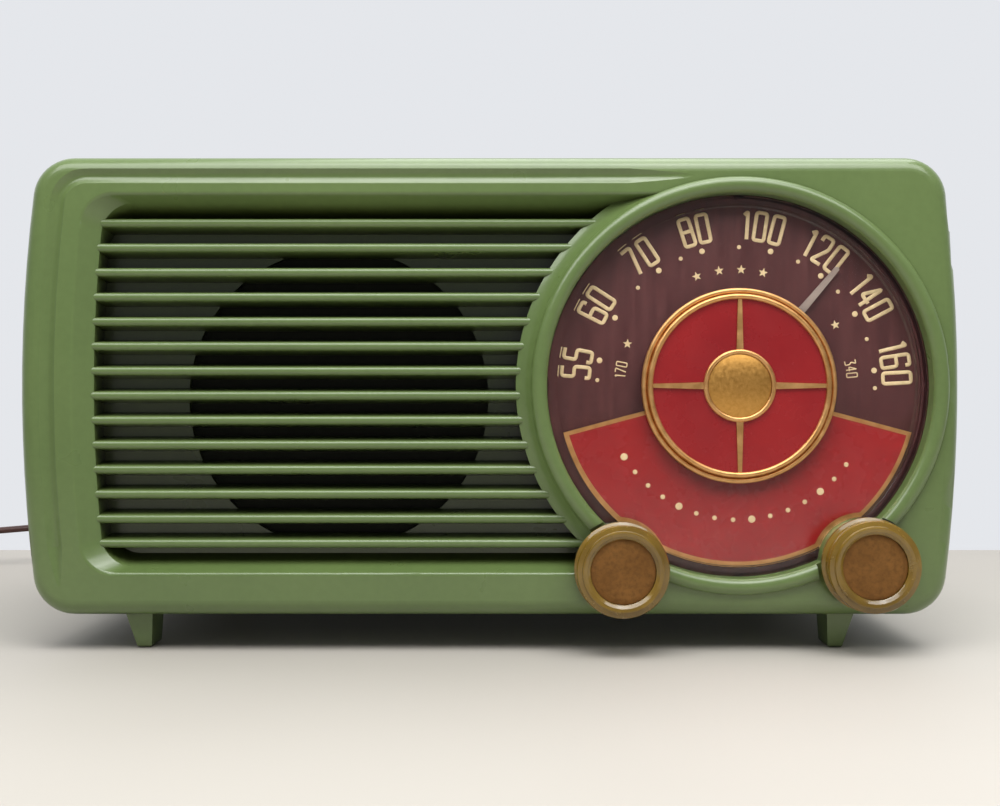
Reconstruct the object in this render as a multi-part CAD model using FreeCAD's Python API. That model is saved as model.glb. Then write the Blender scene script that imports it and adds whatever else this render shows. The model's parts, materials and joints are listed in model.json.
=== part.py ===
import FreeCAD, Part
import math
import os

V = FreeCAD.Vector
os.makedirs("parts", exist_ok=True)

# ---------------------------------------------------------------- driving dimensions (mm)
# Case. X is across, Y goes back, Z is up; the middle of the case is x = 0, the table is z = 0.
CASE_W = 290.0            # across the bowed sides at their widest
CASE_H = 141.5            # moulding without its feet
FOOT_H = 11.0
FRONT_Y = -71.0           # flat front plane of the frame
REAR_Y = 81.0             # open rear edge
WALL = 3.2
SIDE_BOW_R = 482.0        # radius of the bowed left and right sides
FOOT_TOP_OUT = 4.3        # outer and inner sides of a foot where it leaves the case
FOOT_TOP_IN = -4.4
FOOT_TOP_DEPTH = 12.0
FOOT_TIP_OUT = 0.5        # and at its tip
FOOT_TIP_IN = -3.8
FOOT_TIP_DEPTH = 10.0
FOOT_TIP_R = 1.0
FOOT_X = 109.5
FOOT_FRONT = 12.0         # middle of the front feet behind the front plane
FOOT_REAR = 22.0          # and of the rear feet ahead of the rear edge
CORNER_R = 13.0
FRONT_ROLL_R = 5.0        # rolled front edge

# Front recess with the louvres
RECESS_X = -128.2
RECESS_TOP = 140.6
RECESS_BOTTOM = 24.3
RECESS_R = 10.0
RECESS_SLOPE_X = 5.4      # how far the left side slopes in within the bevel
BEVEL_DEPTH = 4.2         # bevel around the recess, to just behind the louvre noses
RECESS_SLOPE_TOP = 6.4    # how far the other walls come in by the floor
RECESS_SLOPE_BOTTOM = 4.6
RECESS_DEPTH = 12.5
RECESS_LIP_R = 1.3        # rolled edge
FLOOR_T = 2.6
RIB_COUNT = 14
RIB_PITCH = 7.65
RIB_LOW_Z = 32.9
RIB_NOSE_R = 1.35
RIB_ROOT_T = 5.0
RIB_NOSE_BACK = 3.6       # nose behind the front plane
CHANNEL_TOP = 6.3         # shallow channel along the frame: its middle, in from the top edge
CHANNEL_SIDE = 9.2        # and in from the left edge
CHANNEL_R = 9.0
CHANNEL_HALF_W = 2.7
CHANNEL_DEPTH = 1.15

# Speaker
SPEAKER_X = -48.0
SPEAKER_Z = 78.0
SPEAKER_OPEN_R = 47.5

# Dial
DIAL_X = 76.8
DIAL_Z = 81.8
RING_IN_R = 59.2
RING_OUT_R = 64.2
RING_ROOT_R = 68.7        # foot of the ring's hollow skirt
RING_PROUD = 2.2
CRYSTAL_GAP = 0.3
CRYSTAL_FRONT = 2.0       # crystal face behind the front plane
CRYSTAL_T = 1.8
CRYSTAL_BAND = 3.2
SCALE_FRONT = 6.4         # scale face behind the front plane
SCALE_T = 0.8
PRINT_GAP = 0.15          # air behind the crystal's clear faces
PANEL_T = 0.6
SECTOR_DEG = 195.0        # upper-left edge of the lower sector, measured from the +X side
TRIM_W = 1.3
MEDAL_R = 26.6
MEDAL_RING_R = 30.1
HUB_RING_R = 11.2
BUTTON_R = 9.7

# Knobs and shafts
KNOB_R = 14.25
KNOB_DEPTH = 8.6
KNOB_FRONT = 11.5         # knob face ahead of the front plane
KNOB_DISC_R = 9.7
VOLUME_DX = -36.9
VOLUME_DZ = -55.6
TUNING_DX = 38.0
TUNING_DZ = -54.2
SHAFT_R = 3.175
RUN_FIT = 0.05            # radial running fit of a shaft in its bushing
FREE_GAP = 0.3            # between pieces that move past each other
BOSS_R = 13.2
NOTCH_GAP = 0.5

# Dial drive
DRUM_CORD_R = 25.0        # drive cord's own radius of turn on the drum
REEL_CORD_R = 5.0         # and on the tuning shaft
DRIVE_CORD_R = 0.4
DRIVE_Y = -49.5
POINTER_DEG = 49.5        # pointer at rest, measured from the +X side
POINTER_GAP = 11.2         # tip of the pointer, in from the ring
OPEN_DEG = 0.0            # pointer angle with the plates fully open

# Chassis
DECK_Z = 43.2
CHASSIS_T = 1.2
CHASSIS_BOTTOM = 16.4
APRON_Y = -43.0
CHASSIS_REAR = 62.0

# Back cover and mains cord
BACK_T = 2.2
BACK_GAP = 0.4
SCREW_HEAD_T = 1.5
CORD_EXIT_X = -126.0
CORD_EXIT_Z = 25.0
CORD_D = 5.4              # width of the twin cord
CORD_THICK = 2.8
CORD_LENGTH = 1500.0
COIL_X = -266.0
COIL_Y = 78.0
COIL_MEAN_R = 28.0
COIL_LEVELS = 4
COIL_LIFT = 1.1

# ---------------------------------------------------------------- worked-out places
BODY_BOTTOM = FOOT_H
BODY_TOP = FOOT_H + CASE_H
MID_Z = (BODY_BOTTOM + BODY_TOP) / 2
FLOOR_Y = FRONT_Y + RECESS_DEPTH
FLOOR_BACK = FLOOR_Y + FLOOR_T
CRYSTAL_Y = FRONT_Y + CRYSTAL_FRONT
CRYSTAL_BACK = CRYSTAL_Y + CRYSTAL_T
PANEL_Y = CRYSTAL_BACK + PRINT_GAP
SCALE_Y = FRONT_Y + SCALE_FRONT
LEDGE_Y = SCALE_Y + SCALE_T
KNOB_FACE_Y = FRONT_Y - KNOB_FRONT
KNOB_BACK_Y = KNOB_FACE_Y + KNOB_DEPTH
BOSS_Y = FRONT_Y - 0.6
VOLUME = (DIAL_X + VOLUME_DX, DIAL_Z + VOLUME_DZ)
TUNING = (DIAL_X + TUNING_DX, DIAL_Z + TUNING_DZ)
DIAL = (DIAL_X, DIAL_Z)
POINTER_TIP_R = RING_IN_R - POINTER_GAP
UP_Y = V(0, 1, 0)
UP_Z = V(0, 0, 1)


# ---------------------------------------------------------------- helpers
def save(name, shape):
    """Write one node and print its volume."""
    if shape.isNull() or not shape.isValid():
        print("INVALID", name)
    shape.exportStep("parts/" + name + ".step")
    print(name, "solids", len(shape.Solids), "volume", round(shape.Volume, 1))


def fuse(shapes):
    """Join shapes into one clean solid."""
    if len(shapes) == 1:
        return shapes[0]
    return shapes[0].multiFuse(shapes[1:]).removeSplitter()


def group(shapes):
    """Keep separate solids together in one node."""
    return Part.makeCompound([s for shape in shapes for s in shape.Solids])


def box(x0, x1, y0, y1, z0, z1):
    return Part.makeBox(x1 - x0, y1 - y0, z1 - z0, V(x0, y0, z0))


def rod(r, y0, y1, at):
    """Cylinder along Y at the place (x, z)."""
    return Part.makeCylinder(r, y1 - y0, V(at[0], y0, at[1]), UP_Y)


def tube_y(r_out, r_in, y0, y1, at):
    return rod(r_out, y0, y1, at).cut(rod(r_in, y0 - 1, y1 + 1, at))


def post(r, z0, z1, at):
    """Cylinder along Z at the place (x, y)."""
    return Part.makeCylinder(r, z1 - z0, V(at[0], at[1], z0), UP_Z)


def polar(at, r, deg):
    """Place (x, z) at a radius and angle about another place, seen from the front."""
    a = math.radians(deg)
    return (at[0] + r * math.cos(a), at[1] + r * math.sin(a))


def turned(points, at, arcs=()):
    """Solid of revolution about the Y line through (x, z); points are (radius, y)."""
    edges = []
    count = len(points)
    for i, (r, y) in enumerate(points):
        r2, y2 = points[(i + 1) % count]
        start = V(at[0] + r, y, at[1])
        end = V(at[0] + r2, y2, at[1])
        if i in arcs:
            via = arcs[i]
            edges.append(Part.Arc(start, V(at[0] + via[0], via[1], at[1]), end).toShape())
        else:
            edges.append(Part.makeLine(start, end))
    face = Part.Face(Part.Wire(edges))
    return face.revolve(V(at[0], 0, at[1]), UP_Y, 360)


def turned_up(points, at):
    """Solid of revolution about the Z line through (x, y); points are (radius, z)."""
    pts = [V(at[0] + r, at[1], z) for r, z in points]
    face = Part.Face(Part.makePolygon(pts + [pts[0]]))
    return face.revolve(V(at[0], at[1], 0), UP_Z, 360)


def wall_x(z):
    """Inner face of a bowed side wall at height z."""
    bow = SIDE_BOW_R - math.sqrt(SIDE_BOW_R ** 2 - (z - MID_Z) ** 2)
    return CASE_W / 2 - WALL - bow


def side_arc(mid_x, sign, z0, z1, bow_r, corner_r):
    """Corner centre's x and the side's tangent heights for one bowed side."""
    mid_z = (z0 + z1) / 2
    half = (z1 - z0) / 2
    centre_x = mid_x - sign * bow_r
    reach = bow_r - corner_r
    drop = half - corner_r
    corner_x = centre_x + sign * math.sqrt(reach ** 2 - drop ** 2)
    k = bow_r / reach
    side_x = centre_x + (corner_x - centre_x) * k
    return corner_x, side_x, mid_z + drop * k, mid_z - drop * k


def bowed_wire(y, x0, x1, z0, z1, bow_r, corner_r):
    """Closed outline with straight top and bottom, bowed sides and round corners."""
    mid_z = (z0 + z1) / 2
    right_c, right_s, high, low = side_arc(x1, 1, z0, z1, bow_r, corner_r)
    left_c, left_s, _, _ = side_arc(x0, -1, z0, z1, bow_r, corner_r)
    top_c = z1 - corner_r
    low_c = z0 + corner_r

    def corner(cx, cz, start, end):
        mid = ((start[0] + end[0]) / 2 - cx, (start[1] + end[1]) / 2 - cz)
        scale = corner_r / math.hypot(*mid)
        via = V(cx + mid[0] * scale, y, cz + mid[1] * scale)
        return Part.Arc(V(start[0], y, start[1]), via, V(end[0], y, end[1])).toShape()

    edges = [
        Part.makeLine(V(left_c, y, z1), V(right_c, y, z1)),
        corner(right_c, top_c, (right_c, z1), (right_s, high)),
        Part.Arc(V(right_s, y, high), V(x1, y, mid_z), V(right_s, y, low)).toShape(),
        corner(right_c, low_c, (right_s, low), (right_c, z0)),
        Part.makeLine(V(right_c, y, z0), V(left_c, y, z0)),
        corner(left_c, low_c, (left_c, z0), (left_s, low)),
        Part.Arc(V(left_s, y, low), V(x0, y, mid_z), V(left_s, y, high)).toShape(),
        corner(left_c, top_c, (left_s, high), (left_c, z1)),
    ]
    return Part.Wire(edges)


def case_outline(y, inset):
    """Outline of the case, moved in evenly by inset."""
    return bowed_wire(y, -CASE_W / 2 + inset, CASE_W / 2 - inset, BODY_BOTTOM + inset,
                      BODY_TOP - inset, SIDE_BOW_R - inset, max(CORNER_R - inset, 1.5))


def prism(wire, depth):
    return Part.Face(wire).extrude(V(0, depth, 0))


def edges_at_y(shape, y, tol=0.01):
    """Edges that lie in the plane at y."""
    found = []
    for e in shape.Edges:
        b = e.BoundBox
        if abs(b.YMin - y) < tol and abs(b.YMax - y) < tol:
            found.append(e)
    return found


# ---------------------------------------------------------------- cabinet moulding
def recess_wire(y, grow=0.0):
    """Recess outline at a depth, moved out by grow. The right end lies inside the ring."""
    depth = min(max(y - FRONT_Y, 0.0), RECESS_DEPTH)
    side = RECESS_SLOPE_X * min(depth / BEVEL_DEPTH, 1.0)
    down = depth / RECESS_DEPTH
    low = RECESS_BOTTOM + RECESS_SLOPE_BOTTOM * down - grow
    top = RECESS_TOP - RECESS_SLOPE_TOP * down + grow
    return bowed_wire(y, RECESS_X + side - grow, DIAL_X + 20, low, top, SIDE_BOW_R, RECESS_R + grow)


def recess_block(front_y, back_y, grow=0.0):
    """Solid of the recess's inside, or of its outer shell when grown."""
    depths = [front_y, FRONT_Y + BEVEL_DEPTH, back_y]
    return Part.makeLoft([recess_wire(y, grow) for y in depths], True, True)


def ring_solid():
    """Raised bead around the dial, its hollow skirt down to the louvres and its inner wall."""
    foot_y = FRONT_Y + BEVEL_DEPTH + 0.3
    points = [
        (RING_IN_R, FLOOR_BACK), (RING_IN_R, FRONT_Y - 0.4), (RING_OUT_R, FRONT_Y + 0.2),
        (RING_ROOT_R, foot_y), (RING_ROOT_R + 0.2, FLOOR_BACK),
    ]
    bead = ((RING_IN_R + RING_OUT_R) / 2, FRONT_Y - RING_PROUD)
    cove = (RING_OUT_R + 1.5, FRONT_Y + 2.2)
    return turned(points, DIAL, {1: bead, 2: cove})


def rib(z):
    """One louvre: round nose, flanks that widen towards the floor."""
    nose_y = FRONT_Y + RIB_NOSE_BACK
    x0 = RECESS_X - 1.0
    half_root = RIB_ROOT_T / 2
    root_y = FLOOR_Y + 0.5
    a = V(x0, root_y, z - half_root)
    b = V(x0, nose_y + RIB_NOSE_R, z - RIB_NOSE_R)
    c = V(x0, nose_y, z)
    d = V(x0, nose_y + RIB_NOSE_R, z + RIB_NOSE_R)
    e = V(x0, root_y, z + half_root)
    wire = Part.Wire([Part.makeLine(a, b), Part.Arc(b, c, d).toShape(), Part.makeLine(d, e),
                      Part.makeLine(e, a)])
    return Part.Face(wire).extrude(V(DIAL_X - x0, 0, 0))


def groove_wire(at, across, lift=0.0):
    """Section of the channel at a place in the front plane: a soft hollow, closed in front."""
    w = CHANNEL_HALF_W
    d = CHANNEL_DEPTH
    run = [(-1.25, -0.3), (-0.75, 0.16), (-0.36, 0.74), (0, 1), (0.36, 0.74), (0.75, 0.16), (1.25, -0.3)]
    points = [at + across * (u * w) + V(0, v * d - lift, 0) for u, v in run]
    curve = Part.BSplineCurve()
    curve.interpolate(points)
    ahead = V(0, -2.0, 0)
    corners = [points[-1], points[-1] + ahead, points[0] + ahead, points[0]]
    lines = [Part.makeLine(a, b) for a, b in zip(corners, corners[1:])]
    return Part.Wire([curve.toShape()] + lines)


def channel():
    """Shallow channel that follows the frame's left side and top and fades out at both ends."""
    z1 = BODY_TOP - CHANNEL_TOP
    x0 = -CASE_W / 2 + CHANNEL_SIDE
    bow = SIDE_BOW_R - CHANNEL_SIDE
    left_c, left_s, high, _ = side_arc(x0, -1, BODY_BOTTOM + CHANNEL_TOP, z1, bow, CHANNEL_R)
    low_z = RECESS_BOTTOM + 8.0
    centre_x = x0 + bow
    low_x = centre_x - math.sqrt(bow ** 2 - (low_z - MID_Z) ** 2)
    corner_z = z1 - CHANNEL_R
    mid = V(left_s - left_c, 0, high - corner_z + CHANNEL_R).normalize() * CHANNEL_R
    end_x = DIAL_X - 34.0
    path = Part.Wire([
        Part.Arc(V(low_x, FRONT_Y, low_z), V(x0, FRONT_Y, MID_Z), V(left_s, FRONT_Y, high)).toShape(),
        Part.Arc(V(left_s, FRONT_Y, high), V(left_c + mid.x, FRONT_Y, corner_z + mid.z),
                 V(left_c, FRONT_Y, z1)).toShape(),
        Part.makeLine(V(left_c, FRONT_Y, z1), V(end_x, FRONT_Y, z1)),
    ])
    start = V(low_x, FRONT_Y, low_z)
    ahead = V(MID_Z - low_z, 0, low_x - centre_x).normalize()
    across = V(-ahead.z, 0, ahead.x)
    pipe = path.makePipeShell([groove_wire(start, across)], True, False)
    fade = CHANNEL_DEPTH + 0.3
    top = V(end_x, FRONT_Y, z1)
    tails = []
    for place, side, run in ((start, across, ahead * 16.0), (top, UP_Z, V(26.0, 0, 0))):
        ends = [groove_wire(place, side), groove_wire(place + run, side, fade)]
        tails.append(Part.makeLoft(ends, True, True))
    return [pipe] + tails


def foot(x, y, lean):
    """Tapered foot with a rounded tip; the outer side slants, the inner side is nearly upright."""
    top = BODY_BOTTOM + 1.0

    def section(z, outer, inner, depth):
        pts = [V(x + outer * lean, y - depth / 2, z), V(x + inner * lean, y - depth / 2, z),
               V(x + inner * lean, y + depth / 2, z), V(x + outer * lean, y + depth / 2, z)]
        return Part.makePolygon(pts + [pts[0]])
    tip = section(0, FOOT_TIP_OUT, FOOT_TIP_IN, FOOT_TIP_DEPTH)
    solid = Part.makeLoft([tip, section(top, FOOT_TOP_OUT, FOOT_TOP_IN, FOOT_TOP_DEPTH)], True, True)
    return solid.makeFillet(FOOT_TIP_R, [e for e in solid.Edges if e.BoundBox.ZMax < 0.01])


BACK_POST_REACH = 17.8    # web from a post into the side wall
BACK_POST_IN = 19.0       # post in from the case's widest point
BACK_POST_X = CASE_W / 2 - BACK_POST_IN
BACK_POSTS = [(sx * BACK_POST_X, z) for sx in (-1, 1) for z in (MID_Z - 8.0, BODY_TOP - 12.0)]
CHASSIS_POSTS = [(-112.0, 10.0), (-112.0, 42.0), (112.0, -30.0), (112.0, 42.0)]
SPEAKER_POSTS = [(SPEAKER_X + sx * 40.0, SPEAKER_Z + sz * 40.0) for sx in (-1, 1) for sz in (-1, 1)]
BAFFLE_Y = FLOOR_BACK + 0.4
BAFFLE_T = 3.0


def cabinet():
    shell = prism(case_outline(FRONT_Y, 0), REAR_Y - FRONT_Y)
    shell = shell.makeFillet(FRONT_ROLL_R, edges_at_y(shell, FRONT_Y))
    shell = shell.cut(prism(case_outline(FRONT_Y + WALL, WALL), REAR_Y - FRONT_Y))
    rebate = prism(case_outline(REAR_Y - BACK_T, WALL - 1.4), BACK_T + 1)
    shell = shell.cut(rebate)

    solid = fuse([shell, recess_block(FRONT_Y + 1.0, FLOOR_BACK, WALL)])
    solid = solid.cut(recess_block(FRONT_Y, FLOOR_Y))
    within = recess_wire(FRONT_Y, 1.0).BoundBox
    lip = [e for e in edges_at_y(solid, FRONT_Y) if within.isInside(e.BoundBox)]
    solid = solid.makeFillet(RECESS_LIP_R, lip)
    for piece in channel():
        solid = solid.cut(piece)
    solid = solid.cut(rod(SPEAKER_OPEN_R, FLOOR_Y, FLOOR_BACK + 1, (SPEAKER_X, SPEAKER_Z)))
    ribs = [rib(RIB_LOW_Z + RIB_PITCH * i) for i in range(RIB_COUNT)]
    rib_space = recess_block(FRONT_Y + 1.0, FLOOR_Y + 0.5, 0.5)
    solid = fuse([solid] + [r.common(rib_space) for r in ribs])

    well = rod((RING_IN_R + RING_OUT_R) / 2, FRONT_Y - 5, FLOOR_BACK + 5, DIAL)
    solid = solid.cut(well)
    ledge = tube_y(RING_IN_R + 0.5, RING_IN_R - 6.0, LEDGE_Y, LEDGE_Y + 2.5, DIAL)
    adds = [ring_solid(), ledge]
    for at in (VOLUME, TUNING):
        adds.append(rod(BOSS_R, BOSS_Y, FLOOR_BACK, at))
    for lean in (-1, 1):
        for y in (FRONT_Y + FOOT_FRONT, REAR_Y - FOOT_REAR):
            adds.append(foot(lean * FOOT_X, y, lean))
    for x, z in BACK_POSTS:
        adds.append(rod(4.0, 52.0, REAR_Y - BACK_T, (x, z)))
        x0, x1 = sorted((x, x + math.copysign(BACK_POST_REACH, x)))
        adds.append(box(x0, x1, 52.0, REAR_Y - BACK_T, z - 1.3, z + 1.3))
    for at in CHASSIS_POSTS:
        adds.append(post(5.0, BODY_BOTTOM + WALL - 0.5, CHASSIS_BOTTOM, at))
    inside = prism(case_outline(FRONT_Y - 3, 0.8), REAR_Y - FRONT_Y + 3)
    feet_space = box(-150, 150, FRONT_Y, REAR_Y, 0, BODY_BOTTOM + 2)
    adds = [a.common(inside.fuse(feet_space)) for a in adds]
    solid = fuse([solid] + adds)

    cuts = []
    for at in (VOLUME, TUNING):
        cuts.append(rod(SHAFT_R + 1.2, BOSS_Y - 3, FLOOR_BACK + 5, at))
        cuts.append(rod(KNOB_R + 0.6, FRONT_Y - 5, BOSS_Y, at))
    for at in BACK_POSTS:
        cuts.append(rod(1.25, REAR_Y - BACK_T - 14, REAR_Y + 1, at))
    for at in CHASSIS_POSTS:
        cuts.append(post(2.0, -1, CHASSIS_BOTTOM + 1, at))
    solid = solid.cut(cuts[0].multiFuse(cuts[1:]))
    return solid.removeSplitter()


# ---------------------------------------------------------------- dial
def notches(extra, y0, y1):
    return [rod(BOSS_R + NOTCH_GAP + extra, y0, y1, at) for at in (VOLUME, TUNING)]


def crystal():
    r = RING_IN_R - CRYSTAL_GAP
    band_in = r - CRYSTAL_BAND
    groove = band_in + 0.3
    body = turned([(0, CRYSTAL_Y), (groove - 0.3, CRYSTAL_Y), (groove, CRYSTAL_Y + 0.3),
                   (groove + 0.3, CRYSTAL_Y), (r - 0.8, CRYSTAL_Y), (r, CRYSTAL_Y + 0.8), (r, SCALE_Y),
                   (r - 0.6, SCALE_Y),
                   (r - 0.6, SCALE_Y - PRINT_GAP), (band_in, SCALE_Y - PRINT_GAP), (band_in, CRYSTAL_BACK),
                   (0, CRYSTAL_BACK)], DIAL)
    tabs = []
    for deg in (0, 90, 180, 270):
        at = polar(DIAL, r, deg)
        tabs.append(rod(1.6, CRYSTAL_Y - 1, CRYSTAL_Y + 0.7, at))
    return body.cut(fuse(notches(0, FRONT_Y - 5, SCALE_Y + 5))).cut(Part.makeCompound(tabs))


def sector(r, y0, y1, shift):
    """Lower sector of a disc below the two radial lines, moved down by shift."""
    a = math.radians(SECTOR_DEG - 180.0)
    drop = shift / math.cos(a)
    top = DIAL_Z - drop
    reach = 90.0
    rise = reach * math.tan(a)
    pts = [V(DIAL_X, y0, top), V(DIAL_X - reach, y0, top - rise), V(DIAL_X - reach, y0, top - reach),
           V(DIAL_X + reach, y0, top - reach), V(DIAL_X + reach, y0, top - rise)]
    wedge = Part.Face(Part.makePolygon(pts + [pts[0]])).extrude(V(0, y1 - y0, 0))
    return rod(r, y0, y1, DIAL).common(wedge)


def lower_panel():
    """Red sector and its trim, held by the edge in the crystal's rim."""
    y0 = PANEL_Y
    y1 = PANEL_Y + PANEL_T
    r = RING_IN_R - CRYSTAL_GAP - CRYSTAL_BAND
    whole = sector(r, y0, y1, 0).cut(fuse(notches(0, y0 - 1, y1 + 1)))
    inner = sector(r - TRIM_W, y0, y1, TRIM_W).cut(fuse(notches(TRIM_W, y0 - 1, y1 + 1)))
    hub = rod(MEDAL_R - 3.0, y0 - 1, y1 + 1, DIAL)
    return inner.cut(hub), whole.cut(inner).cut(hub)


def medallion():
    y = CRYSTAL_Y
    disc = rod(MEDAL_R, y - 1.2, y, DIAL)
    step = MEDAL_R + 1.7
    ring = turned([(MEDAL_R, y), (MEDAL_R, y - 1.6), (step, y - 1.6), (step + 0.2, y - 0.8),
                   (step + 0.4, y - 1.2), (MEDAL_RING_R, y - 0.6), (MEDAL_RING_R, y)], DIAL,
                  {1: ((MEDAL_R + step) / 2, y - 2.3), 4: ((step + MEDAL_RING_R) / 2 + 0.3, y - 1.45)})
    hub = turned([(BUTTON_R + 0.1, y - 1.2), (BUTTON_R + 0.1, y - 1.9), (HUB_RING_R, y - 1.6),
                  (HUB_RING_R, y - 1.2)], DIAL, {1: ((BUTTON_R + HUB_RING_R) / 2, y - 2.2)})
    bars = []
    for k in range(4):
        pts = [V(HUB_RING_R - 0.4, y - 1.2, -1.05), V(MEDAL_R + 0.5, y - 1.2, -0.6),
               V(MEDAL_R + 0.5, y - 1.2, 0.6), V(HUB_RING_R - 0.4, y - 1.2, 1.05)]
        bar = Part.Face(Part.makePolygon(pts + [pts[0]])).extrude(V(0, -0.6, 0))
        bar.rotate(V(0, 0, 0), UP_Y, 90 * k)
        bar.translate(V(DIAL_X, 0, DIAL_Z))
        bars.append(bar)
    trim = fuse([ring, hub] + bars)
    button = turned([(0, y - 1.2), (0, y - 3.2), (BUTTON_R, y - 1.7), (BUTTON_R, y - 1.2)], DIAL,
                    {1: (BUTTON_R * 0.6, y - 2.75)})
    return disc, trim, button


def scale_plate():
    plate = rod(RING_IN_R - CRYSTAL_GAP, SCALE_Y, LEDGE_Y, DIAL)
    hole = rod(SHAFT_R + 1.5, SCALE_Y - 1, LEDGE_Y + 1, DIAL)
    return plate.cut(fuse(notches(0, SCALE_Y - 1, LEDGE_Y + 1) + [hole]))


def pointer():
    y0 = PANEL_Y + PANEL_T + 0.35
    t = 0.7
    a = math.radians(POINTER_DEG)
    pts = [V(0, y0, -1.9), V(POINTER_TIP_R, y0, -0.8), V(POINTER_TIP_R + 0.5, y0, 0),
           V(POINTER_TIP_R, y0, 0.8), V(0, y0, 1.9)]
    blade = Part.Face(Part.makePolygon(pts + [pts[0]])).extrude(V(0, t, 0))
    blade.rotate(V(0, 0, 0), UP_Y, -math.degrees(a))
    blade.translate(V(DIAL_X, 0, DIAL_Z))
    hub = rod(6.0, y0, y0 + t, DIAL)
    return fuse([blade, hub]).cut(rod(SHAFT_R, y0 - 1, y0 + t + 1, DIAL)), y0


# ---------------------------------------------------------------- knobs
def knob(at):
    """Turned knob: rear flange, groove, front rim and a recess for the disc."""
    y0 = KNOB_FACE_Y
    y1 = KNOB_BACK_Y
    r = KNOB_R
    rim_in = KNOB_DISC_R + 0.1
    points = [
        (SHAFT_R, y1), (r - 0.5, y1), (r, y1 - 0.5), (r, y1 - 1.5), (r - 0.9, y1 - 2.1),
        (r - 1.2, y1 - 3.6), (r - 0.7, y1 - 4.6), (r - 0.3, y0 + 1.8), (r - 0.6, y0 + 1.1),
        (r - 1.9, y0 + 0.8), (r - 2.1, y0 + 0.15), (r - 2.5, y0), (rim_in + 1.0, y0 + 0.15),
        (rim_in + 0.2, y0 + 0.75), (rim_in, y0 + 0.95), (rim_in, y0 + 2.4), (SHAFT_R, y0 + 2.4),
    ]
    return turned(points, at)


def knob_disc(at):
    y0 = KNOB_FACE_Y + 1.2
    y1 = KNOB_FACE_Y + 2.4
    return turned([(0, y0), (KNOB_DISC_R - 1.5, y0), (KNOB_DISC_R, y0 + 0.3), (KNOB_DISC_R, y1), (0, y1)], at)


# ---------------------------------------------------------------- tuning drive and capacitor
CAP_Y0 = -40.0
CAP_Y1 = 2.0
PLATE_COUNT = 9
PLATE_T = 0.8
PLATE_PITCH = 3.2
ROTOR_R = 18.0


def open_turn(shape):
    """Turn a piece modelled with its plates straight up to the rest position."""
    shape.rotate(V(DIAL_X, 0, DIAL_Z), UP_Y, -(POINTER_DEG - OPEN_DEG))
    return shape


def plate_y(i):
    return CAP_Y0 + 6.0 + PLATE_PITCH * i


def rotor():
    _, tip_y = pointer()
    shaft = rod(SHAFT_R, tip_y - 0.2, CAP_Y1 + 3.0, DIAL)
    plates = []
    for i in range(PLATE_COUNT):
        half = rod(ROTOR_R, plate_y(i), plate_y(i) + PLATE_T, DIAL)
        half = half.common(box(DIAL_X - 20, DIAL_X + 20, CAP_Y0, CAP_Y1, DIAL_Z, DIAL_Z + 20))
        plates.append(half)
    spine = rod(SHAFT_R + 1.6, plate_y(0), plate_y(PLATE_COUNT - 1) + PLATE_T, DIAL)
    return open_turn(fuse([shaft, spine] + plates))


def stators():
    """Fixed plates between the moving ones, joined by two bars along the bottom."""
    parts = []
    for i in range(PLATE_COUNT - 1):
        y = plate_y(i) + (PLATE_PITCH + PLATE_T) / 2 - PLATE_T / 2
        half = rod(ROTOR_R + 2.5, y, y + PLATE_T, DIAL)
        keep = box(DIAL_X - 22, DIAL_X + 22, CAP_Y0, CAP_Y1, DIAL_Z - 22, DIAL_Z - 1)
        half = half.common(keep).cut(rod(SHAFT_R + 1.6 + 1.0, y - 1, y + 2, DIAL))
        parts.append(half)
    first = plate_y(0)
    last = plate_y(PLATE_COUNT - 1)
    for sx in (-1, 1):
        x = DIAL_X + sx * 14.6
        z = DIAL_Z - 15.2
        bar = box(x - 1.2, x + 1.2, first - 1, last + 1, z - 1.2, z + 1.2)
        parts.append(bar.cut(rod(ROTOR_R + FREE_GAP, first - 2, last + 2, DIAL)))
    return fuse(parts)


def capacitor_frame():
    half_w = 22.0
    low = DIAL_Z - 23.0
    high = DIAL_Z + 9.0
    front = box(DIAL_X - half_w, DIAL_X + half_w, CAP_Y0, CAP_Y0 + 1.5, low, high)
    rear = box(DIAL_X - half_w, DIAL_X + half_w, CAP_Y1 - 1.5, CAP_Y1, low, high)
    base = box(DIAL_X - half_w, DIAL_X + half_w, CAP_Y0, CAP_Y1, low, low + 1.5)
    bush = rod(5.5, CAP_Y0 - 1.0, CAP_Y0 + 3.0, DIAL)
    rear_bush = rod(5.5, CAP_Y1 - 3.0, CAP_Y1 + 1.0, DIAL)
    solid = fuse([front, rear, base, bush, rear_bush])
    return solid.cut(rod(SHAFT_R + RUN_FIT, CAP_Y0 - 5, CAP_Y1 + 5, DIAL))


def capacitor_bracket():
    top = DIAL_Z - 23.0
    half_w = 22.0
    parts = [box(DIAL_X - half_w, DIAL_X + half_w, CAP_Y0 + 2, CAP_Y1 - 2, top - 1.2, top)]
    for sx in (-1, 1):
        x = DIAL_X + sx * (half_w - 0.6)
        parts.append(box(x - 0.6, x + 0.6, CAP_Y0 + 2, CAP_Y1 - 2, DECK_Z, top))
        flange = sorted((x, x + sx * 8.0))
        parts.append(box(flange[0], flange[1], CAP_Y0 + 2, CAP_Y1 - 2, DECK_Z, DECK_Z + 1.2))
    return fuse(parts)


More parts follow.
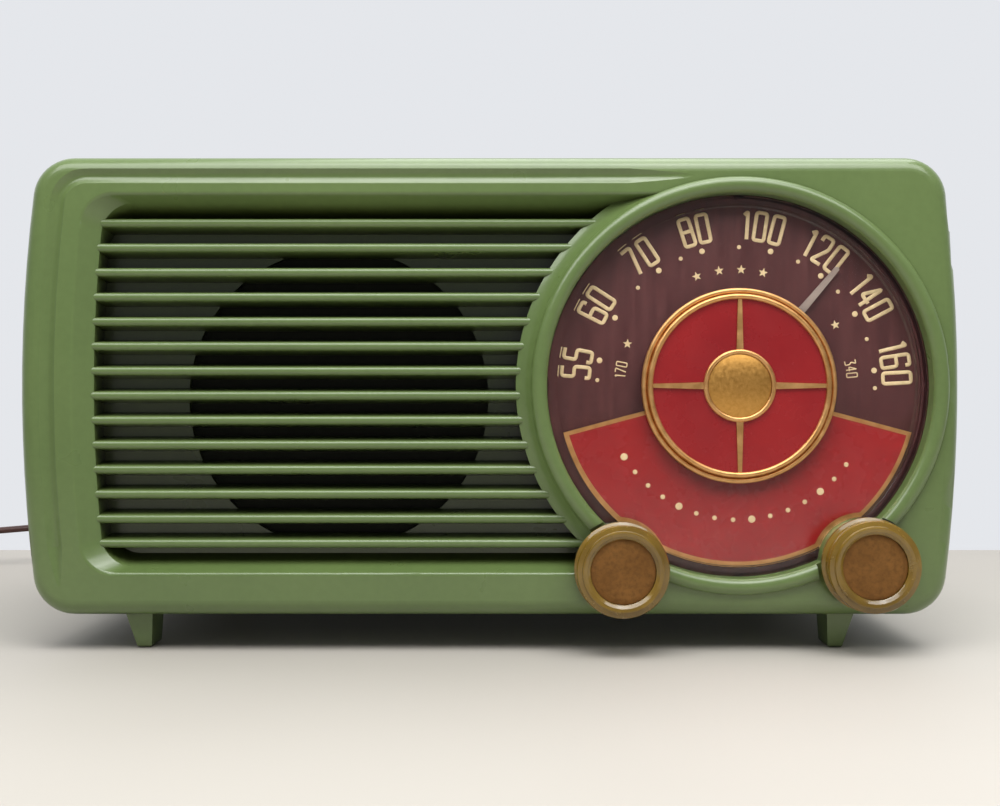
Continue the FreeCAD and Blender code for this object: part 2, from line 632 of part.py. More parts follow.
def drum():
    groove = DRUM_CORD_R - DRIVE_CORD_R - FREE_GAP
    rim = groove + 2.0
    y = DRIVE_Y
    hub = 7.0
    points = [(SHAFT_R, y - 2.4), (hub, y - 2.4), (hub, y - 1.0), (rim - 3.4, y - 1.0), (rim - 3.4, y - 1.8),
              (rim, y - 1.8), (rim, y - 1.2), (groove, y - 0.7), (groove, y + 0.7), (rim, y + 1.2),
              (rim, y + 1.8), (rim - 3.4, y + 1.8), (rim - 3.4, y + 1.0), (hub, y + 1.0), (hub, y + 4.0),
              (SHAFT_R, y + 4.0)]
    wheel = turned(points, DIAL)
    holes = [rod(3.2, y - 5, y + 5, polar(DIAL, 14.0, 30 + 60 * k)) for k in range(6)]
    return wheel.cut(Part.makeCompound(holes))


def drive_cord():
    """Open belt around the drum and the reel on the tuning shaft."""
    dx = TUNING[0] - DIAL_X
    dz = TUNING[1] - DIAL_Z
    span = math.hypot(dx, dz)
    base = math.atan2(dz, dx)
    lean = math.acos((DRUM_CORD_R - REEL_CORD_R) / span)

    def place(at, r, a):
        return V(at[0] + r * math.cos(a), DRIVE_Y, at[1] + r * math.sin(a))
    a1 = base + lean
    a2 = base - lean
    path = Part.Wire([
        Part.Arc(place(DIAL, DRUM_CORD_R, a1), place(DIAL, DRUM_CORD_R, base + math.pi),
                 place(DIAL, DRUM_CORD_R, a2)).toShape(),
        Part.makeLine(place(DIAL, DRUM_CORD_R, a2), place(TUNING, REEL_CORD_R, a2)),
        Part.Arc(place(TUNING, REEL_CORD_R, a2), place(TUNING, REEL_CORD_R, base),
                 place(TUNING, REEL_CORD_R, a1)).toShape(),
        Part.makeLine(place(TUNING, REEL_CORD_R, a1), place(DIAL, DRUM_CORD_R, a1)),
    ])
    start = place(DIAL, DRUM_CORD_R, a1)
    tangent = V(-math.sin(a1), 0, math.cos(a1))
    circle = Part.Wire(Part.makeCircle(DRIVE_CORD_R, start, tangent))
    return path.makePipeShell([circle], True, False)


def tuning_shaft():
    groove = REEL_CORD_R - DRIVE_CORD_R - FREE_GAP
    rim = groove + 1.6
    y = DRIVE_Y
    return turned([(0, KNOB_FACE_Y + 3.0), (SHAFT_R, KNOB_FACE_Y + 3.0), (SHAFT_R, y - 2.6), (rim, y - 2.6),
                   (rim, y - 1.2), (groove, y - 0.7), (groove, y + 0.7), (rim, y + 1.2), (rim, y + 2.6),
                   (SHAFT_R, y + 2.6), (SHAFT_R, APRON_Y + 9.0), (0, APRON_Y + 9.0)], TUNING)


def bushing(at):
    """Threaded sleeve with its nut, in the front apron."""
    hexagon = [polar(at, 7.0, 60 * k) for k in range(7)]
    pts = [V(x, APRON_Y - 2.2, z) for x, z in hexagon]
    nut = Part.Face(Part.makePolygon(pts)).extrude(V(0, 2.2, 0))
    sleeve = rod(4.7, APRON_Y - 3.2, APRON_Y + CHASSIS_T + 5.0, at)
    flange = rod(7.0, APRON_Y + CHASSIS_T, APRON_Y + CHASSIS_T + 1.5, at)
    return fuse([nut, sleeve, flange]).cut(rod(SHAFT_R + RUN_FIT, APRON_Y - 9, APRON_Y + 15, at))


def volume_shaft():
    return rod(SHAFT_R, KNOB_FACE_Y + 3.0, APRON_Y + CHASSIS_T + 6.5, VOLUME)


def volume_control():
    back = APRON_Y + CHASSIS_T
    can = rod(11.5, back + 1.5, back + 13.0, VOLUME)
    switch = rod(9.5, back + 13.0, back + 22.0, VOLUME)
    solid = fuse([bushing(VOLUME), can, switch])
    solid = solid.cut(rod(SHAFT_R + RUN_FIT, APRON_Y - 9, back + 8.0, VOLUME))
    lugs = []
    for dx in (-5, 0, 5):
        lugs.append(box(VOLUME[0] + dx - 0.8, VOLUME[0] + dx + 0.8, back + 3.0, back + 3.8,
                        VOLUME[1] + 8.0, VOLUME[1] + 15.0))
    return fuse([solid] + lugs)


# ---------------------------------------------------------------- chassis and what stands on it
CHASSIS_GAP_LEFT = 15.35   # between the chassis and the case's side walls at its foot
CHASSIS_GAP_RIGHT = 3.35
LEFT_X = CHASSIS_GAP_LEFT - wall_x(CHASSIS_BOTTOM)
RIGHT_X = wall_x(CHASSIS_BOTTOM) - CHASSIS_GAP_RIGHT
STEP_X = 22.0
LEFT_FRONT_Y = -2.0
TUBES = [(-108.0, 20.0, 46.0), (-74.0, 44.0, 46.0), (-32.0, 46.0, 40.0), (6.0, 44.0, 54.0),
         (44.0, 40.0, 54.0)]
IF_CANS = [(-74.0, 12.0), (-12.0, 16.0)]
SOCKET_R = 10.5
SOCKET_T = 3.0


def l_plan(grow, z0, z1):
    """L-shaped block of the chassis outline, moved in by grow."""
    left, step, right = LEFT_X + grow, STEP_X + grow, RIGHT_X - grow
    front, apron, rear = LEFT_FRONT_Y + grow, APRON_Y + grow, CHASSIS_REAR - grow
    pts = [(left, front), (step, front), (step, apron), (right, apron), (right, rear), (left, rear)]
    vecs = [V(x, y, z0) for x, y in pts]
    return Part.Face(Part.makePolygon(vecs + [vecs[0]])).extrude(V(0, 0, z1 - z0))


def chassis():
    pan = l_plan(0, CHASSIS_BOTTOM, DECK_Z)
    pan = pan.cut(l_plan(CHASSIS_T, CHASSIS_BOTTOM - 1, DECK_Z - CHASSIS_T))
    top = CHASSIS_BOTTOM + CHASSIS_T
    flanges = [box(x - 7, x + 7, y - 8, y + 8, CHASSIS_BOTTOM, top) for x, y in CHASSIS_POSTS]
    links = []
    for x, y in CHASSIS_POSTS:
        wall = LEFT_X if x < 0 else RIGHT_X
        a, b = sorted((x, wall))
        links.append(box(a, b, y - 8, y + 8, CHASSIS_BOTTOM, top))
    pan = fuse([pan] + flanges + links)
    cuts = [post(2.0, CHASSIS_BOTTOM - 1, CHASSIS_BOTTOM + 3, at) for at in CHASSIS_POSTS]
    cuts += [post(SOCKET_R - 2.0, DECK_Z - 3, DECK_Z + 1, (x, y)) for x, y, _ in TUBES]
    cuts += [rod(4.75, APRON_Y - 1, APRON_Y + 3, at) for at in (VOLUME, TUNING)]
    cuts.append(rod(4.6, CHASSIS_REAR - 3, CHASSIS_REAR + 1, (CORD_EXIT_X + 22, CORD_EXIT_Z + 6)))
    return pan.cut(Part.makeCompound(cuts))


def tube_sockets():
    out = []
    neck = SOCKET_R - 2.5
    for x, y, _ in TUBES:
        out.append(turned_up([(0, DECK_Z - 7), (neck, DECK_Z - 7), (neck, DECK_Z), (SOCKET_R, DECK_Z),
                              (SOCKET_R, DECK_Z + 1.2), (neck, DECK_Z + SOCKET_T), (0, DECK_Z + SOCKET_T)],
                             (x, y)))
    return group(out)


def tube_envelopes():
    out = []
    for x, y, height in TUBES:
        z = DECK_Z + SOCKET_T
        r = 9.2
        outer = [(0, z), (r - 0.6, z), (r, z + 1.0), (r, z + height - 7), (r - 1.6, z + height - 3.4),
                 (r - 5.2, z + height - 1.0), (1.5, z + height), (0, z + height + 3.0)]
        inner = [(0, z + 3.4), (r - 1.0, z + 3.4), (r - 1.0, z + height - 7.4), (r - 2.4, z + height - 4.4),
                 (r - 5.8, z + height - 2.0), (0, z + height - 1.4)]
        out.append(turned_up(outer, (x, y)).cut(turned_up(inner, (x, y))))
    return group(out)


def tube_plates():
    """Electrode stack inside each tube: dark plate box between two insulators, and its getter."""
    out = []
    for x, y, height in TUBES:
        z = DECK_Z + SOCKET_T + 3.4
        top = z + height - 18
        stack = [box(x - 4.5, x + 4.5, y - 3, y + 3, z + 3.0, top), post(6.8, top, top + 0.8, (x, y)),
                 post(6.8, z + 2.2, z + 3.0, (x, y)), post(1.0, z, z + 2.2, (x, y)),
                 post(0.6, top + 0.8, top + 4, (x, y)), box(x - 4, x + 4, y - 1, y + 1, top + 4, top + 4.8)]
        out.append(fuse(stack))
    return group(out)


def if_cans():
    out = []
    for x, y in IF_CANS:
        can = box(x - 9.5, x + 9.5, y - 9.5, y + 9.5, DECK_Z, DECK_Z + 46)
        can = can.makeFillet(1.6, [e for e in can.Edges if abs(e.Vertexes[0].Z - e.Vertexes[-1].Z) > 40])
        can = can.makeFillet(1.2, [e for e in can.Edges if e.BoundBox.ZMin > DECK_Z + 45.9])
        can = can.cut(post(2.2, DECK_Z + 44, DECK_Z + 47, (x, y)))
        out.append(can)
    return group(out)


def electrolytic():
    at = (112.0, 40.0)
    z = DECK_Z
    return turned_up([(0, z), (15.5, z), (15.5, z + 1.5), (12.7, z + 1.5), (12.7, z + 57), (11.5, z + 58.5),
                      (11.5, z + 57.8), (0, z + 57.8)], at)


def transformer():
    x, y, z = 117.0, 10.0, DECK_Z
    outer = box(x - 15, x + 15, y - 7, y + 7, z, z + 26)
    windows = [box(a, a + 5.0, y - 8, y + 8, z + 5, z + 21) for a in (x - 9.5, x + 4.5)]
    core = outer.cut(Part.makeCompound(windows))
    wind = box(x - 9.4, x + 9.4, y - 12, y + 12, z + 5.1, z + 20.9)
    wind = wind.makeFillet(2.5, [e for e in wind.Edges if abs(e.Vertexes[0].Z - e.Vertexes[-1].Z) > 10])
    return core, wind.cut(core)


def oscillator_coil():
    x, y, z = 38.0, -22.0, DECK_Z
    former = turned_up([(0, z), (8, z), (8, z + 1.5), (5, z + 1.5), (5, z + 32), (0, z + 32)], (x, y))
    winding = turned_up([(5, z + 8), (7.4, z + 8.6), (7.4, z + 17.4), (5, z + 18)], (x, y))
    second = turned_up([(5, z + 21), (6.6, z + 21.4), (6.6, z + 26.6), (5, z + 27)], (x, y))
    return former, group([winding, second])


def under_parts():
    """Capacitors, resistors and the tag strip hung under the deck."""
    along = V(1, 0, 0)
    can_z = CHASSIS_BOTTOM + 9.6
    wire_z = CHASSIS_BOTTOM + 15.6
    capacitors = []
    for i, (x, y) in enumerate([(-90.0, 28.0), (-44.0, 26.0), (2.0, 28.0), (60.0, 24.0), (88.0, -12.0)]):
        capacitors.append(Part.makeCylinder(4.6, 26 + 3 * (i % 2), V(x, y, can_z), along))
    resistors = []
    for x, y in [(-84.0, 46.0), (-52.0, 14.0), (-20.0, 46.0), (24.0, 12.0), (62.0, 46.0), (84.0, 8.0)]:
        body = Part.makeCylinder(1.8, 10.0, V(x, y, wire_z), along)
        lead = Part.makeCylinder(0.4, 22.0, V(x - 6, y, wire_z), along)
        resistors.append(fuse([body, lead]))
    strip_z = CHASSIS_BOTTOM + 7.6
    strip = box(-30.0, 40.0, 54.0, 55.6, strip_z, strip_z + 10.0)
    lugs = [box(12 * k - 26.0, 12 * k - 22.0, 53.0, 57.0, strip_z + 7.0, strip_z + 11.5) for k in range(6)]
    return group(capacitors), group(resistors), fuse([strip] + lugs)


# ---------------------------------------------------------------- speaker
SPK = (SPEAKER_X, SPEAKER_Z)
SPK_Y = BAFFLE_Y + BAFFLE_T
FRAME_R = 50.5


def speaker():
    y = SPK_Y
    gasket = tube_y(FRAME_R, FRAME_R - 4.5, y, y + 1.2, SPK)
    y += 1.2
    frame = turned([(FRAME_R - 5.5, y), (FRAME_R, y), (FRAME_R, y + 1.0), (FRAME_R - 4.0, y + 1.0),
                    (20.0, y + 24.0), (20.0, y + 27.0), (14.5, y + 27.0), (14.5, y + 25.6), (18.6, y + 25.6),
                    (18.6, y + 23.4)], SPK)
    slots = []
    for k in range(4):
        mid = polar(SPK, 34.0, 45 + 90 * k)
        slots.append(rod(7.5, y + 4, y + 24, mid))
    frame = frame.cut(Part.makeCompound(slots))
    ears = []
    for at in SPEAKER_POSTS:
        ears.append(rod(8.0, y, y + 1.0, at))
    frame = fuse([frame] + [e.cut(rod(FRAME_R - 5.5, y - 1, y + 3, SPK)) for e in ears])
    frame = frame.cut(Part.makeCompound([rod(2.1, y - 1, y + 3, at) for at in SPEAKER_POSTS]))
    cone = turned([(43.8, y + 0.1), (43.8, y + 0.6), (41.5, y + 1.5), (9.0, y + 20.4), (9.0, y + 19.8),
                   (41.0, y + 0.8), (42.8, y + 0.0)], SPK)
    cap = turned([(0, y + 15.6), (4.0, y + 16.2), (7.0, y + 18.0), (8.6, y + 19.6), (8.6, y + 20.2),
                  (7.0, y + 18.7), (4.0, y + 16.9), (0, y + 16.3)], SPK)
    discs = ((20.0, 27.0, 29.5), (17.0, 29.5, 40.0), (19.0, 40.0, 43.0))
    magnet = fuse([rod(r, y + a, y + b, SPK) for r, a, b in discs])
    return gasket, frame, cone, cap, magnet


def speaker_screws():
    out = []
    y = SPK_Y + 2.2
    for at in SPEAKER_POSTS:
        shank = rod(1.9, BAFFLE_Y + 0.4, y, at)
        head = turned([(0, y), (3.6, y), (3.2, y + 1.4), (1.6, y + 2.2), (0, y + 2.2)], at)
        out.append(fuse([shank, head]))
    return group(out)


def baffle():
    board = box(SPEAKER_X - 62, SPEAKER_X + 56, BAFFLE_Y, BAFFLE_Y + BAFFLE_T, SPEAKER_Z - 52, SPEAKER_Z + 58)
    board = board.cut(rod(SPEAKER_OPEN_R - 3.0, BAFFLE_Y - 1, BAFFLE_Y + BAFFLE_T + 1, SPK))
    return board.cut(Part.makeCompound([rod(1.95, BAFFLE_Y - 1, BAFFLE_Y + 9, at) for at in SPEAKER_POSTS]))


def cloth():
    return box(SPEAKER_X - 58, SPEAKER_X + 54, FLOOR_BACK, BAFFLE_Y, SPEAKER_Z - 50, SPEAKER_Z + 55)


# ---------------------------------------------------------------- back cover
BACK_Y = REAR_Y - BACK_T


def back_cover():
    board = prism(case_outline(BACK_Y, WALL - 1.4 + BACK_GAP), BACK_T)
    holes = []
    for row in range(6):
        for col in range(22):
            x = -110.0 + col * 10.4 + (5.2 if row % 2 else 0.0)
            z = BODY_BOTTOM + 53.0 + row * 13.0
            if abs(x) < 118 and all(math.hypot(x - a, z - b) > 9 for a, b in BACK_POSTS):
                holes.append(rod(3.0, BACK_Y - 1, REAR_Y + 1, (x, z)))
    for col in range(9):
        x = -40.0 + col * 12.0
        holes.append(rod(3.0, BACK_Y - 1, REAR_Y + 1, (x, BODY_BOTTOM + 17.0)))
    holes.append(rod(4.5, BACK_Y - 1, REAR_Y + 1, (CORD_EXIT_X, CORD_EXIT_Z)))
    holes += [rod(1.9, BACK_Y - 1, REAR_Y + 1, at) for at in BACK_POSTS]
    return board.cut(Part.makeCompound(holes))


def loop_antenna():
    y = BACK_Y - 1.6
    low = BODY_BOTTOM + 38.0
    high = BODY_TOP - 12.5
    outer = bowed_wire(y, -116.0, 116.0, low, high, SIDE_BOW_R, 14.0)
    inner = bowed_wire(y - 1, -106.0, 106.0, low + 10.0, high - 10.0, SIDE_BOW_R, 9.0)
    return prism(outer, 1.6).cut(prism(inner, 4.0))


def back_screws():
    out = []
    for at in BACK_POSTS:
        shank = rod(1.2, REAR_Y - BACK_T - 11, REAR_Y, at)
        head = turned([(0, REAR_Y), (4.2, REAR_Y), (3.4, REAR_Y + 0.9), (1.6, REAR_Y + SCREW_HEAD_T),
                       (0, REAR_Y + SCREW_HEAD_T)], at)
        out.append(fuse([shank, head]))
    return group(out)


def chassis_screws():
    out = []
    top = CHASSIS_BOTTOM + CHASSIS_T + 2.5
    for at in CHASSIS_POSTS:
        shank = post(1.9, BODY_BOTTOM, top, at)
        head = turned_up([(0, BODY_BOTTOM - 1.2), (3.0, BODY_BOTTOM - 1.2), (3.9, BODY_BOTTOM - 0.5),
                          (3.9, BODY_BOTTOM), (0, BODY_BOTTOM)], at)
        nut = post(3.6, CHASSIS_BOTTOM + CHASSIS_T, top, at)
        out.append(fuse([shank, head, nut]))
    return group(out)


def grommet():
    y1 = REAR_Y + SCREW_HEAD_T
    at = (CORD_EXIT_X, CORD_EXIT_Z)
    return turned([(0, BACK_Y - 2.0), (6.2, BACK_Y - 2.0), (6.2, BACK_Y), (4.4, BACK_Y), (4.4, REAR_Y),
                   (6.8, REAR_Y), (6.2, y1), (0, y1)], at)


# ---------------------------------------------------------------- mains cord
COIL_Z0 = COIL_LIFT
COIL_Z1 = COIL_LIFT + COIL_LEVELS * (CORD_THICK + 0.1)
COIL_OUT_R = COIL_MEAN_R + CORD_D + 0.2
COIL_IN_R = COIL_MEAN_R - CORD_D - 0.2
COIL_RING_R = COIL_MEAN_R + CORD_D / 2
TOP_TURN_Z = COIL_Z1 + CORD_THICK / 2     # the cord comes in over the finished turns
LAST_TURN_Z = COIL_Z1 - CORD_THICK / 2    # and leaves from the outer column's top turn
LAID_Z = CORD_D / 2 + 0.6

CORD_ROUTE = [
    (CORD_EXIT_X, REAR_Y + SCREW_HEAD_T, CORD_EXIT_Z),
    (CORD_EXIT_X - 1.0, 102.0, 24.4),
    (CORD_EXIT_X - 12.5, 120.0, 22.6),
    (CORD_EXIT_X - 35.0, 130.0, 20.6),
    (CORD_EXIT_X - 70.0, 127.0, 18.4),
    (CORD_EXIT_X - 106.0, 115.5, 16.0),
    (COIL_X - 1.0, COIL_Y + COIL_RING_R, TOP_TURN_Z),
]
TAIL_ROUTE = [
    (COIL_X - COIL_RING_R, COIL_Y - 3.0, LAST_TURN_Z),
    (COIL_X - COIL_RING_R - 1.5, COIL_Y - 29.0, 6.6),
    (COIL_X - COIL_RING_R + 4.0, COIL_Y - 54.0, LAID_Z),
]
PLUG_R = 11.0


def swept_route(route, name):
    """Tube along straight runs joined by tangent arcs; prints the radii and the volume check."""
    pts = [V(*p) for p in route]
    edges = []
    start = pts[0]
    radii = []
    for i in range(1, len(pts) - 1):
        back = (pts[i - 1] - pts[i])
        ahead = (pts[i + 1] - pts[i])
        run = min(back.Length, ahead.Length)
        turn = math.pi - back.getAngle(ahead)
        cut = 0.45 * run
        radii.append(cut / math.tan(turn / 2))
        p = pts[i] + back.normalize() * cut
        q = pts[i] + ahead.normalize() * cut
        centre = pts[i] + (back + ahead).normalize() * (radii[-1] / math.cos(turn / 2))
        via = centre + (pts[i] - centre).normalize() * radii[-1]
        edges.append(Part.makeLine(start, p))
        edges.append(Part.Arc(p, via, q).toShape())
        start = q
    edges.append(Part.makeLine(start, pts[-1]))
    path = Part.Wire(edges)
    length = path.Length
    tangent = (pts[1] - pts[0]).normalize()
    section = Part.Wire(Part.makeCircle(CORD_D / 2, pts[0], tangent))
    tube = path.makePipeShell([section], True, False)
    expect = math.pi * CORD_D ** 2 / 4 * length
    print(name, "radii", [round(r, 1) for r in radii], "length", round(length, 1),
          "volume ratio", round(tube.Volume / expect, 4))
    return tube, length


def cord_coil():
    outer = post(COIL_OUT_R, COIL_Z0, COIL_Z1, (COIL_X, COIL_Y))
    return outer.cut(post(COIL_IN_R, COIL_Z0 - 1, COIL_Z1 + 1, (COIL_X, COIL_Y)))


def cord_tie():
    gap = 0.35
    t = 0.7
    a = COIL_IN_R - gap - 0.2
    b = COIL_OUT_R + gap
    outer = box(a - t, b + t, -2.6, 2.6, COIL_Z0 - gap - t, COIL_Z1 + gap + t)
    inner = box(a, b, -3, 3, COIL_Z0 - gap, COIL_Z1 + gap)
    band = outer.cut(inner)
    band.rotate(V(0, 0, 0), UP_Z, -40)
    band.translate(V(COIL_X, COIL_Y, 0))
    return band


def plug():
    """Round-backed two-blade plug lying on its flat side, blades pointing on along the cord."""
    end = V(*TAIL_ROUTE[-1])
    along = (end - V(*TAIL_ROUTE[-2]))
    along.z = 0
    heading = math.degrees(math.atan2(along.y, along.x))
    half = CORD_D / 2 + 0.6
    outline = [(0, -4.2), (16, -PLUG_R), (27, -PLUG_R), (27, PLUG_R), (16, PLUG_R), (0, 4.2), (0, -4.2)]
    body = Part.Face(Part.makePolygon([V(x, y, 0) for x, y in outline])).extrude(V(0, 0, 2 * half + 8.0))
    corners = [e for e in body.Edges if e.BoundBox.ZLength > 8 and e.BoundBox.XMin > 15]
    body = body.makeFillet(2.4, corners)
    blades = [box(27, 43, s * 6.4 - 0.75, s * 6.4 + 0.75, half + 1.0, half + 7.4) for s in (-1, 1)]
    out = [body, group(blades)]
    for piece in out:
        piece.rotate(V(0, 0, 0), UP_Z, heading)
        piece.translate(V(end.x, end.y, 0))
    return out


# ---------------------------------------------------------------- build all
if __name__ == "__main__":
    save("cabinet", cabinet())
    save("grille_cloth", cloth())
    save("baffle_board", baffle())
    save("dial_crystal", crystal())
    red, gold = lower_panel()
    save("dial_lower_panel", red)
    save("dial_lower_trim", gold)
    disc, trim, button = medallion()
    save("medallion_disc", disc)
    save("medallion_trim", trim)
    save("medallion_button", button)
    save("dial_scale", scale_plate())
    save("pointer", pointer()[0])
    save("drive_drum", drum())
    save("capacitor_rotor", rotor())
    save("capacitor_stators", stators())
    save("capacitor_frame", capacitor_frame())
    save("capacitor_bracket", capacitor_bracket())
    save("drive_cord", drive_cord())
    save("tuning_shaft", tuning_shaft())
    save("tuning_bushing", bushing(TUNING))
    save("volume_shaft", volume_shaft())
    save("volume_control", volume_control())
    for name, at in (("tuning", TUNING), ("volume", VOLUME)):
        save(name + "_knob", knob(at))
        save(name + "_knob_disc", knob_disc(at))
    save("chassis", chassis())
    save("tube_sockets", tube_sockets())
    save("tube_envelopes", tube_envelopes())
    save("tube_plates", tube_plates())
    save("if_cans", if_cans())
    save("filter_can", electrolytic())
    core, winding = transformer()
    save("output_core", core)
    save("output_winding", winding)
    former, coil_wire = oscillator_coil()
    save("oscillator_former", former)
    save("oscillator_winding", coil_wire)
    caps, resistors, strip = under_parts()
    save("paper_capacitors", caps)
    save("resistors", resistors)
    save("terminal_strip", strip)
    gasket, frame, cone, cap, magnet = speaker()
    save("speaker_gasket", gasket)
    save("speaker_frame", frame)
    save("speaker_cone", cone)
    save("speaker_dust_cap", cap)
    save("speaker_magnet", magnet)
    save("speaker_screws", speaker_screws())
    save("back_cover", back_cover())
    save("loop_antenna", loop_antenna())
    save("back_screws", back_screws())
    save("chassis_screws", chassis_screws())
    save("cord_grommet", grommet())
    cord, cord_run = swept_route(CORD_ROUTE, "power_cord")
    save("power_cord", cord)
    tail, tail_run = swept_route(TAIL_ROUTE, "cord_tail")
    save("cord_tail", tail)
    save("cord_coil", cord_coil())
    save("cord_tie", cord_tie())
    plug_body, blades = plug()
    save("plug_body", plug_body)
    save("plug_blades", blades)
    in_turns = CORD_LENGTH - cord_run - tail_run
    print("turns in the coil", round(in_turns / (2 * math.pi * COIL_MEAN_R), 2))
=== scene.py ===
import json
import math

import bpy
from mathutils import Matrix, Vector


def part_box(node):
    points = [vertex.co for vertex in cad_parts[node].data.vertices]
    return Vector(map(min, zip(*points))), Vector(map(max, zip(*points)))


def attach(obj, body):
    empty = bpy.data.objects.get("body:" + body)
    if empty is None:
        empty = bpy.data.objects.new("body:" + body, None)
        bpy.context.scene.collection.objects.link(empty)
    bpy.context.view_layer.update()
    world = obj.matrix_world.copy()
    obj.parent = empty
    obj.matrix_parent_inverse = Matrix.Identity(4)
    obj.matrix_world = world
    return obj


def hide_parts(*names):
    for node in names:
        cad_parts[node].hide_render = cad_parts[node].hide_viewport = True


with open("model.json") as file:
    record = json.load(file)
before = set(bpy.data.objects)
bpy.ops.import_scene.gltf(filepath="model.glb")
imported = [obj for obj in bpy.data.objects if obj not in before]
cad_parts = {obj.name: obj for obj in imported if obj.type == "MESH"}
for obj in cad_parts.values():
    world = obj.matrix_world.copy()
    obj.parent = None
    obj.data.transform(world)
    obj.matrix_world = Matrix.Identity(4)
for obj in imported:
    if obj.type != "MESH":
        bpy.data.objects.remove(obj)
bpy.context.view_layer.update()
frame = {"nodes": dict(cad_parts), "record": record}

NODES = frame["nodes"]
MM = 0.001


# ---------------------------------------------------------------- camera
RING_PROUD = 2.2 * MM       # the dial ring stands this far ahead of the case's front plane
CAMERA_X = 0.0032
CAMERA_Z = 0.0765
CAMERA_AHEAD = 0.337
CAMERA_LENS = 39.6


def make_camera():
    """Level view from straight in front, at half the case's height."""
    front_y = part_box("cabinet")[0].y + RING_PROUD
    place = (CAMERA_X, front_y - CAMERA_AHEAD, CAMERA_Z)
    bpy.ops.object.camera_add(location=place, rotation=(math.pi / 2, 0, 0))
    camera = bpy.context.object
    camera.name = "front_camera"
    camera.data.lens = CAMERA_LENS
    camera.data.sensor_width = 36.0
    camera.data.clip_start = 0.01
    bpy.context.scene.camera = camera


make_camera()


# ---------------------------------------------------------------- node helpers
class Look:
    """One material and the few kinds of node that the finishes here are made from."""

    def __init__(self, name, roughness=0.5, metallic=0.0):
        self.material = bpy.data.materials.new(name)
        self.material.use_nodes = True
        self.tree = self.material.node_tree
        self.shader = self.tree.nodes["Principled BSDF"]
        self.shader.inputs["Roughness"].default_value = roughness
        self.shader.inputs["Metallic"].default_value = metallic
        self.place = self.node("ShaderNodeTexCoord").outputs["Object"]

    def node(self, kind):
        return self.tree.nodes.new(kind)

    def link(self, a, b):
        self.tree.links.new(a, b)

    def set(self, **values):
        for key, value in values.items():
            self.shader.inputs[key.replace("_", " ")].default_value = value

    def stretched(self, scale, turn=(0, 0, 0)):
        """The object's own places, stretched along its axes."""
        mapping = self.node("ShaderNodeMapping")
        self.link(self.place, mapping.inputs["Vector"])
        mapping.inputs["Scale"].default_value = scale
        mapping.inputs["Rotation"].default_value = turn
        return mapping.outputs["Vector"]

    def noise(self, scale, detail=4.0, roughness=0.55, vector=None):
        n = self.node("ShaderNodeTexNoise")
        n.inputs["Scale"].default_value = scale
        n.inputs["Detail"].default_value = detail
        n.inputs["Roughness"].default_value = roughness
        self.link(vector or self.place, n.inputs["Vector"])
        return n.outputs["Fac"]

    def wave(self, scale, axis="X", distortion=0.0, vector=None):
        n = self.node("ShaderNodeTexWave")
        n.bands_direction = axis
        n.inputs["Scale"].default_value = scale
        n.inputs["Distortion"].default_value = distortion
        self.link(vector or self.place, n.inputs["Vector"])
        return n.outputs["Fac"]

    def ramp(self, fac, *stops):
        """Colour or value ramp; each stop is (place, colour)."""
        n = self.node("ShaderNodeValToRGB")
        while len(n.color_ramp.elements) < len(stops):
            n.color_ramp.elements.new(0.5)
        for element, (place, colour) in zip(n.color_ramp.elements, stops):
            element.position = place
            element.color = colour if len(colour) == 4 else (*colour, 1)
        self.link(fac, n.inputs["Fac"])
        return n.outputs["Color"]

    def spread(self, fac, low, high):
        """A value spread between low and high."""
        n = self.node("ShaderNodeMapRange")
        n.inputs["From Min"].default_value = 0.3
        n.inputs["From Max"].default_value = 0.7
        n.inputs["To Min"].default_value = low
        n.inputs["To Max"].default_value = high
        self.link(fac, n.inputs["Value"])
        return n.outputs["Result"]

    def mix(self, fac, a, b, blend="MIX"):
        n = self.node("ShaderNodeMix")
        n.data_type = "RGBA"
        n.blend_type = blend
        for value, socket in ((fac, n.inputs[0]), (a, n.inputs[6]), (b, n.inputs[7])):
            if isinstance(value, (int, float)):
                socket.default_value = value
            elif isinstance(value, tuple):
                socket.default_value = (*value, 1)
            else:
                self.link(value, socket)
        return n.outputs[2]

    def crevice(self, distance):
        """Ambient occlusion: 1 in the open, less in corners and recesses; used to paint shade into colour.
        """
        n = self.node("ShaderNodeAmbientOcclusion")
        n.samples = 6
        n.inputs["Distance"].default_value = distance
        return n.outputs["AO"]

    def colour(self, socket):
        self.link(socket, self.shader.inputs["Base Color"])

    def rough(self, socket):
        self.link(socket, self.shader.inputs["Roughness"])

    def bump(self, height, strength, distance):
        n = self.node("ShaderNodeBump")
        n.inputs["Strength"].default_value = strength
        n.inputs["Distance"].default_value = distance
        self.link(height, n.inputs["Height"])
        normal = self.shader.inputs["Normal"]
        if normal.is_linked:
            self.link(normal.links[0].from_socket, n.inputs["Normal"])
        self.link(n.outputs["Normal"], normal)


